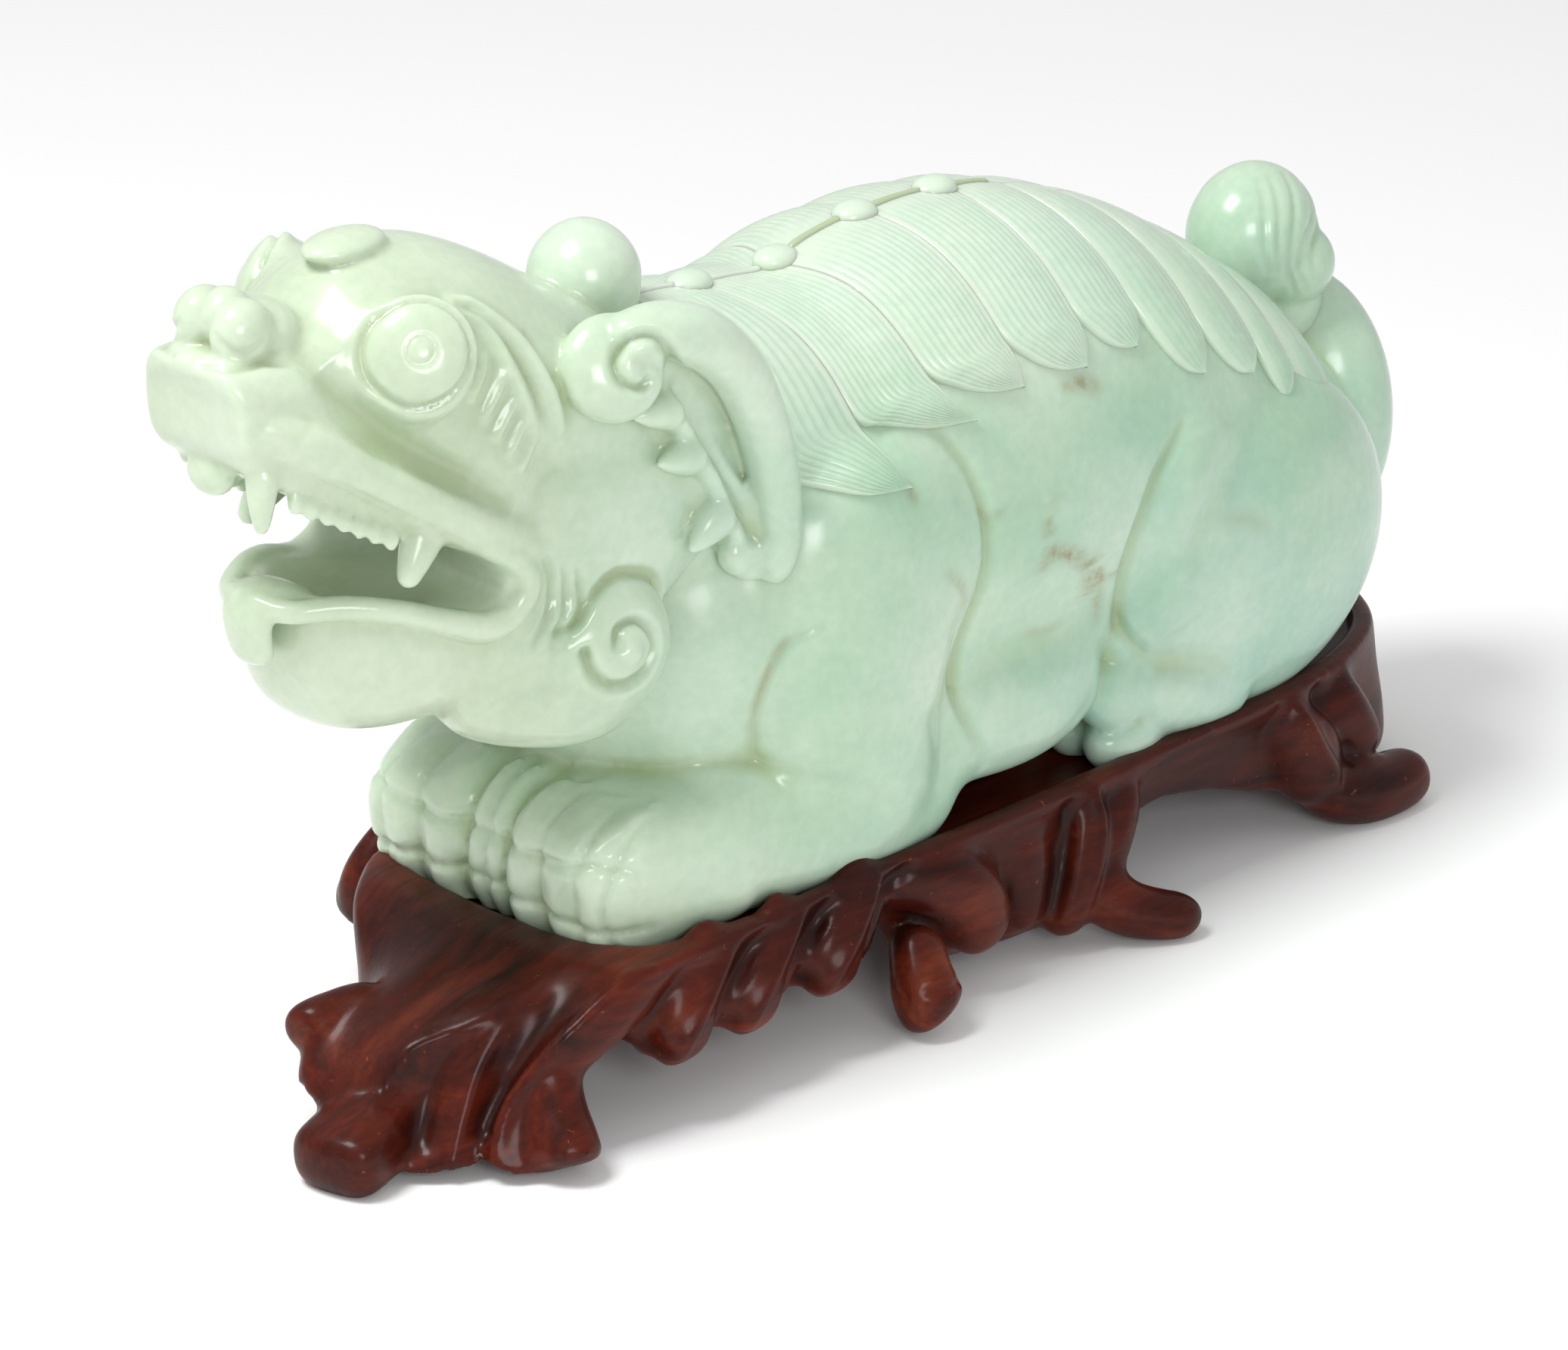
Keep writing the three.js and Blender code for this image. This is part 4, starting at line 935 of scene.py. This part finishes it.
# The apron in front: a sheet of wood that falls from the tray's edge in folds. Each row of points runs from
# the edge down to the bottom, from the far side round to the near one.
APRON = [
    [(-57, 29, 31), (-63, 26, 27), (-67, 22.5, 21), (-70, 19, 14), (-72, 17, 8), (-73, 15, 3)],
    [(-64, 22, 31), (-71, 18.5, 28), (-74, 15, 23), (-76, 12, 17.5), (-79, 9, 11), (-82, 7, 4)],
    [(-66, 13, 31), (-72.4, 11, 27), (-77, 8, 22), (-81.6, 5, 17), (-87, 3.4, 11), (-90, 3, 4)],
    [(-66.6, 6, 31), (-72.6, 3, 28.4), (-79, -0.6, 25.6), (-86, -2, 22.6), (-95, 1.6, 17), (-98, 1.6, 8)],
    [(-67, 0, 31), (-73, -4, 29), (-79.6, -7.4, 27.4), (-86.4, -7.6, 24.8), (-98, -1, 18), (-102.6, -2, 11)],
    [(-66.6, -6, 31), (-74, -10, 28.4), (-82, -12.4, 26), (-90, -11.5, 22.4), (-100.4, -6, 15), (-103.6, -9, 8.6)],
    [(-65.8, -14, 31), (-74, -17, 28), (-83.4, -18.6, 25.6), (-92, -18, 21.4), (-99, -15, 14), (-102, -17, 6.6)],
    [(-65.5, -20, 31), (-73.5, -22, 28), (-82, -23.4, 25.6), (-88, -22.5, 19), (-93, -21.5, 11), (-98.8, -26.5, 1)],
    [(-65, -25.6, 31), (-71.5, -27, 28), (-78, -27.4, 25), (-84.5, -27, 18), (-89.5, -28, 10), (-94.5, -30, 2)],
    [(-64, -31, 31), (-69.5, -32, 26.6), (-75, -31.4, 21), (-80.5, -30, 14), (-85.5, -30, 8), (-91, -33, 2)],
    [(-60.5, -37.5, 31), (-67, -38.6, 28), (-75, -37.4, 23.5), (-80.4, -34.8, 18), (-85, -33.2, 11.5), (-90, -35, 3)],
    [(-56.5, -40.5, 30.5), (-63.5, -41, 24.4), (-70.5, -39, 18.5), (-76, -36.6, 13), (-81, -37, 7), (-86, -39.5, 0.5)],
    [(-52, -40.6, 29), (-58, -39.6, 22), (-64.6, -37, 17), (-70.5, -35, 12.5), (-76, -36, 6), (-80, -40, 0)],
]
FOLDS_ACROSS, FOLDS_DOWN = 160, 80
downward = [spline(row, np.linspace(0, 1, FOLDS_DOWN + 1)) for row in APRON]
sheet = np.stack([spline([row[j] for row in downward], np.linspace(0, 1, FOLDS_ACROSS + 1)) for j in range(FOLDS_DOWN + 1)])
apron = bmesh.new()
made = bmesh.ops.create_grid(apron, x_segments=FOLDS_ACROSS, y_segments=FOLDS_DOWN, size=1)["verts"]
for v in made:
    i, j = round((v.co.x + 1) / 2 * FOLDS_ACROSS), round((v.co.y + 1) / 2 * FOLDS_DOWN)
    v.co = sheet[j, i]
sunk = bmesh.ops.extrude_edge_only(apron, edges=[e for e in apron.edges if e.is_boundary])["geom"]
for v in [g for g in sunk if isinstance(g, bmesh.types.BMVert)]:
    v.co = Vector((-56, -6, 22)) + (v.co - Vector((-56, -6, 22))) * 0.2
bmesh.ops.edgeloop_fill(apron, edges=[e for e in sunk if isinstance(e, bmesh.types.BMEdge) and e.is_boundary])
bmesh.ops.recalc_face_normals(apron, faces=apron.faces)
added_to(stand, apron)
added_to(stand, parts)
fused(stand, 0.9)
ground(stand.data, 3)
# The tray is cut to the beast's own base, so that its edge lies close to the stone.
RECESS = [
    (-59.2, 15), (-53.4, 27.4), (-40, 33.4), (0, 35.6), (60, 35.6), (108, 33.5), (135, 25), (147.5, 8),
    (147.5, -10), (135, -25), (108, -33.2), (60, -35.2), (0, -35.8), (-42, -35.4), (-55, -29), (-59.6, -15),
]
tray = bmesh.new()
seat = np.array(RECESS, float)
base_loop = []
for i in range(len(seat)):
    four = [seat[i - 1], seat[i], seat[(i + 1) % 16], seat[(i + 2) % 16]]
    base_loop += [tray.verts.new((x, y, RECESS_FLOOR)) for x, y in spline(four, np.linspace(1 / 3, 2 / 3, 13))[:-1]]
floor_face = tray.faces.new(base_loop)
raised = bmesh.ops.extrude_face_region(tray, geom=[floor_face])["geom"]
bmesh.ops.translate(tray, vec=(0, 0, 40), verts=[v for v in raised if isinstance(v, bmesh.types.BMVert)])
bmesh.ops.recalc_face_normals(tray, faces=tray.faces)
cutter = stone_from(tray, "tray")
cut = stand.modifiers.new("cut", "BOOLEAN")
cut.object = cutter
cut.operation = "DIFFERENCE"
cut.solver = "MANIFOLD"
settled(stand)
bpy.data.objects.remove(cutter)
fused(stand, 0.8)
ground(stand.data, 2)
carved(stand.data, [
    ([(-56, 40.5, 31), (-61, 39.4, 30), (-67, 38.6, 28), (-75, 37.4, 23.5), (-80.4, 34.8, 18), (-85, 33.2, 11.5),
      (-89, 34, 5)], 1.3, -1.0, (0.15, 0.15), (NEAR,)),
    ([(-80, 27, 26), (-88, 23.5, 23.6), (-92.6, 19, 20.4), (-98, 17.6, 13), (-100.6, 18.6, 6)], 1.3, -0.9, (0.3, 0.15), (NEAR,)),
    ([(-78, 27.4, 25), (-84.5, 27, 18), (-89.5, 28, 10), (-94.5, 30, 2)], 1.3, -0.8, (0.4, 0.1), (NEAR,)),
    ([(-81, 30.5, 16), (-85, 30, 8), (-90, 32, 2)], 1.6, 1.2, (0.4, 0.1), (NEAR,)),
    ([(-85, 23.5, 22), (-90, 22, 15), (-96, 24, 5)], 1.8, 1.2, (0.4, 0.1), (NEAR,)),
    ([(-1.5, 47, 9.6), (4, 49.5, 9.4), (9, 47, 9.6)], 0.6, 0.6, (0.2, 0.2), PAIR),
] + [
    ([(-37 + step, 39, 30), (-44 + step, 41, 24.5), (-51 + step, 43, 18), (-55.6 + step, 43, 11)], 1.5, -1.3, (0.2, 0.2), PAIR)
    for step in (0, 16, 34)
] + [
    ([(-29 + step, 38, 29.5), (-37 + step, 40, 24), (-43.6 + step, 40, 18), (-46 + step, 39, 13)], 1.7, 1.6, (0.2, 0.1), PAIR)
    for step in (0, 16, 34)
] + [
    ([(50, 40, 30), (48.6, 42, 20), (43, 43, 8)], 1.4, -1.2, (0.1, 0.2), PAIR),
    ([(44, 39, 29), (42, 40, 18), (37, 41, 6)], 1.6, 1.4, (0.1, 0.2), PAIR),
    ([(104, 38, 29), (108, 41, 20), (114, 42, 10)], 1.5, -1.0, (0.1, 0.2), PAIR),
    ([(112, 37, 29), (116, 38, 20), (121, 39, 12)], 1.6, 1.3, (0.1, 0.2), PAIR),
])
ground(stand.data, 1)
cut_flat(stand, 0)
thinned(stand, 150000)
wear_and_painted_light(stand.data, 0.12)
placed(stand)

DARK_WOOD = (0.014, 0.0022, 0.0015)
RED_WOOD = (0.095, 0.012, 0.005)
ORANGE_WOOD = (0.30, 0.085, 0.022)

rosewood = bpy.data.materials.new("dark_wood")
rosewood.use_nodes = True
tree = rosewood.node_tree
tree.nodes.clear()
place = node(tree, "ShaderNodeTexCoord").outputs["Object"]
with_grain = node(tree, "ShaderNodeMapping", Scale=(0.14, 1.0, 1.0))
with_grain.inputs["Rotation"].default_value = (0, 0.35, 0.1)
tree.links.new(place, with_grain.inputs["Vector"])
figure = node(tree, "ShaderNodeTexNoise", Scale=80.0, Detail=6.0, Roughness=0.6, Distortion=1.0)
fibres = node(tree, "ShaderNodeTexNoise", Scale=700.0, Detail=3.0, Roughness=0.6)
for texture in (figure, fibres):
    tree.links.new(with_grain.outputs[0], texture.inputs["Vector"])
flecks = node(tree, "ShaderNodeTexNoise", Scale=750.0, Detail=3.0)
patches = node(tree, "ShaderNodeTexNoise", Scale=26.0, Detail=3.0)
for texture in (flecks, patches):
    tree.links.new(place, texture.inputs["Vector"])
colour = ramp(tree, figure.outputs[0], [(0.3, DARK_WOOD), (0.55, RED_WOOD), (0.78, (0.19, 0.034, 0.010))])
dusk = ramp(tree, patches.outputs[0], [(0.4, (0, 0, 0)), (0.65, (0.5, 0.5, 0.5))])
colour = blended(tree, dusk, colour, DARK_WOOD)
fine = ramp(tree, fibres.outputs[0], [(0.35, (0.7, 0.7, 0.7)), (0.65, (1.15, 1.15, 1.15))])
colour = blended(tree, 0.7, colour, fine, "MULTIPLY")
wear_and_light = node(tree, "ShaderNodeAttribute", attribute_name="wear_and_painted_light").outputs["Fac"]
chafed = ramp(tree, wear_and_light, [(0.48, (0.3, 0.3, 0.3)), (0.95, (0.8, 0.8, 0.8))])
broken = ramp(tree, flecks.outputs[0], [(0.68, (0, 0, 0)), (0.80, (1, 1, 1))])
colour = blended(tree, blended(tree, 1.0, chafed, broken, "MULTIPLY"), colour, ORANGE_WOOD)
# Painted shade: the wood's colour is darkened almost to black in its hollows.
painted_shade_in_hollows = ramp(tree, wear_and_light, [(0.0, (0.8, 0.8, 0.8)), (0.44, (0, 0, 0))])
colour = blended(tree, painted_shade_in_hollows, colour, (0.018, 0.005, 0.004))
polish = node(tree, "ShaderNodeBsdfPrincipled", Roughness=0.33)
polish.inputs["IOR"].default_value = 1.42
polish.inputs["Specular IOR Level"].default_value = 0.1
polish.inputs["Coat Weight"].default_value = 0.22
polish.inputs["Coat Roughness"].default_value = 0.2
gloss = node(tree, "ShaderNodeMapRange")
tree.links.new(patches.outputs[0], gloss.inputs[0])
gloss.inputs[3].default_value = 0.3
gloss.inputs[4].default_value = 0.5
tree.links.new(gloss.outputs[0], polish.inputs["Roughness"])
uneven = node(tree, "ShaderNodeBump", Strength=0.25, Distance=0.0004)
tree.links.new(fibres.outputs[0], uneven.inputs["Height"])
tree.links.new(uneven.outputs[0], polish.inputs["Normal"])
tree.links.new(colour, polish.inputs["Base Color"])
tree.links.new(polish.outputs[0], node(tree, "ShaderNodeOutputMaterial").inputs[0])
polished(stand, rosewood, "carved_wood_stand")
print("triangles", *(sum(len(p.vertices) - 2 for p in o.data.polygons) for o in (body, head, mane, tail, stand)))

# The plain pale floor, the soft lights and the camera.
bpy.ops.mesh.primitive_plane_add(size=20)
floor = bpy.context.object
floor.name = "floor"
plaster = bpy.data.materials.new("floor")
plaster.use_nodes = True
plaster.node_tree.nodes["Principled BSDF"].inputs["Base Color"].default_value = (0.97, 0.97, 0.97, 1)
plaster.node_tree.nodes["Principled BSDF"].inputs["Roughness"].default_value = 0.8
floor.data.materials.append(plaster)

world = bpy.data.worlds.new("studio")
bpy.context.scene.world = world
world.use_nodes = True
world.node_tree.nodes["Background"].inputs[0].default_value = (1, 1, 1, 1)
world.node_tree.nodes["Background"].inputs[1].default_value = 0.62
bpy.context.scene.view_settings.view_transform = "Standard"


def softbox(name, where, aim, size, power):
    light = bpy.data.objects.new(name, bpy.data.lights.new(name, "AREA"))
    light.data.shape = "RECTANGLE"
    light.data.size, light.data.size_y = size
    light.data.energy = power
    light.location = where
    light.rotation_euler = (Vector(aim) - Vector(where)).to_track_quat("-Z", "Y").to_euler()
    bpy.context.scene.collection.objects.link(light)


softbox("key", (-0.45, 0.1, 0.9), (0, 0, 0.05), (0.35, 0.35), 7.0)
softbox("front", (-0.5, -0.85, 0.45), (-0.02, 0, 0.06), (0.35, 0.3), 2.8)

AZIMUTH, ELEVATION, DISTANCE = math.radians(-45), math.radians(23), 1150
AIM = (-4, -17, 60)
camera = bpy.data.objects.new("camera", bpy.data.cameras.new("camera"))
bpy.context.scene.collection.objects.link(camera)
toward = Vector((math.sin(AZIMUTH) * math.cos(ELEVATION), -math.cos(AZIMUTH) * math.cos(ELEVATION), math.sin(ELEVATION)))
aim = Vector(AIM) * MM + Vector((DRAWING_ORIGIN, 0, 0))
camera.location = aim + toward * DISTANCE * MM
camera.rotation_euler = toward.to_track_quat("Z", "Y").to_euler()
camera.data.sensor_width = 36
camera.data.lens = 155.65
bpy.context.scene.camera = camera
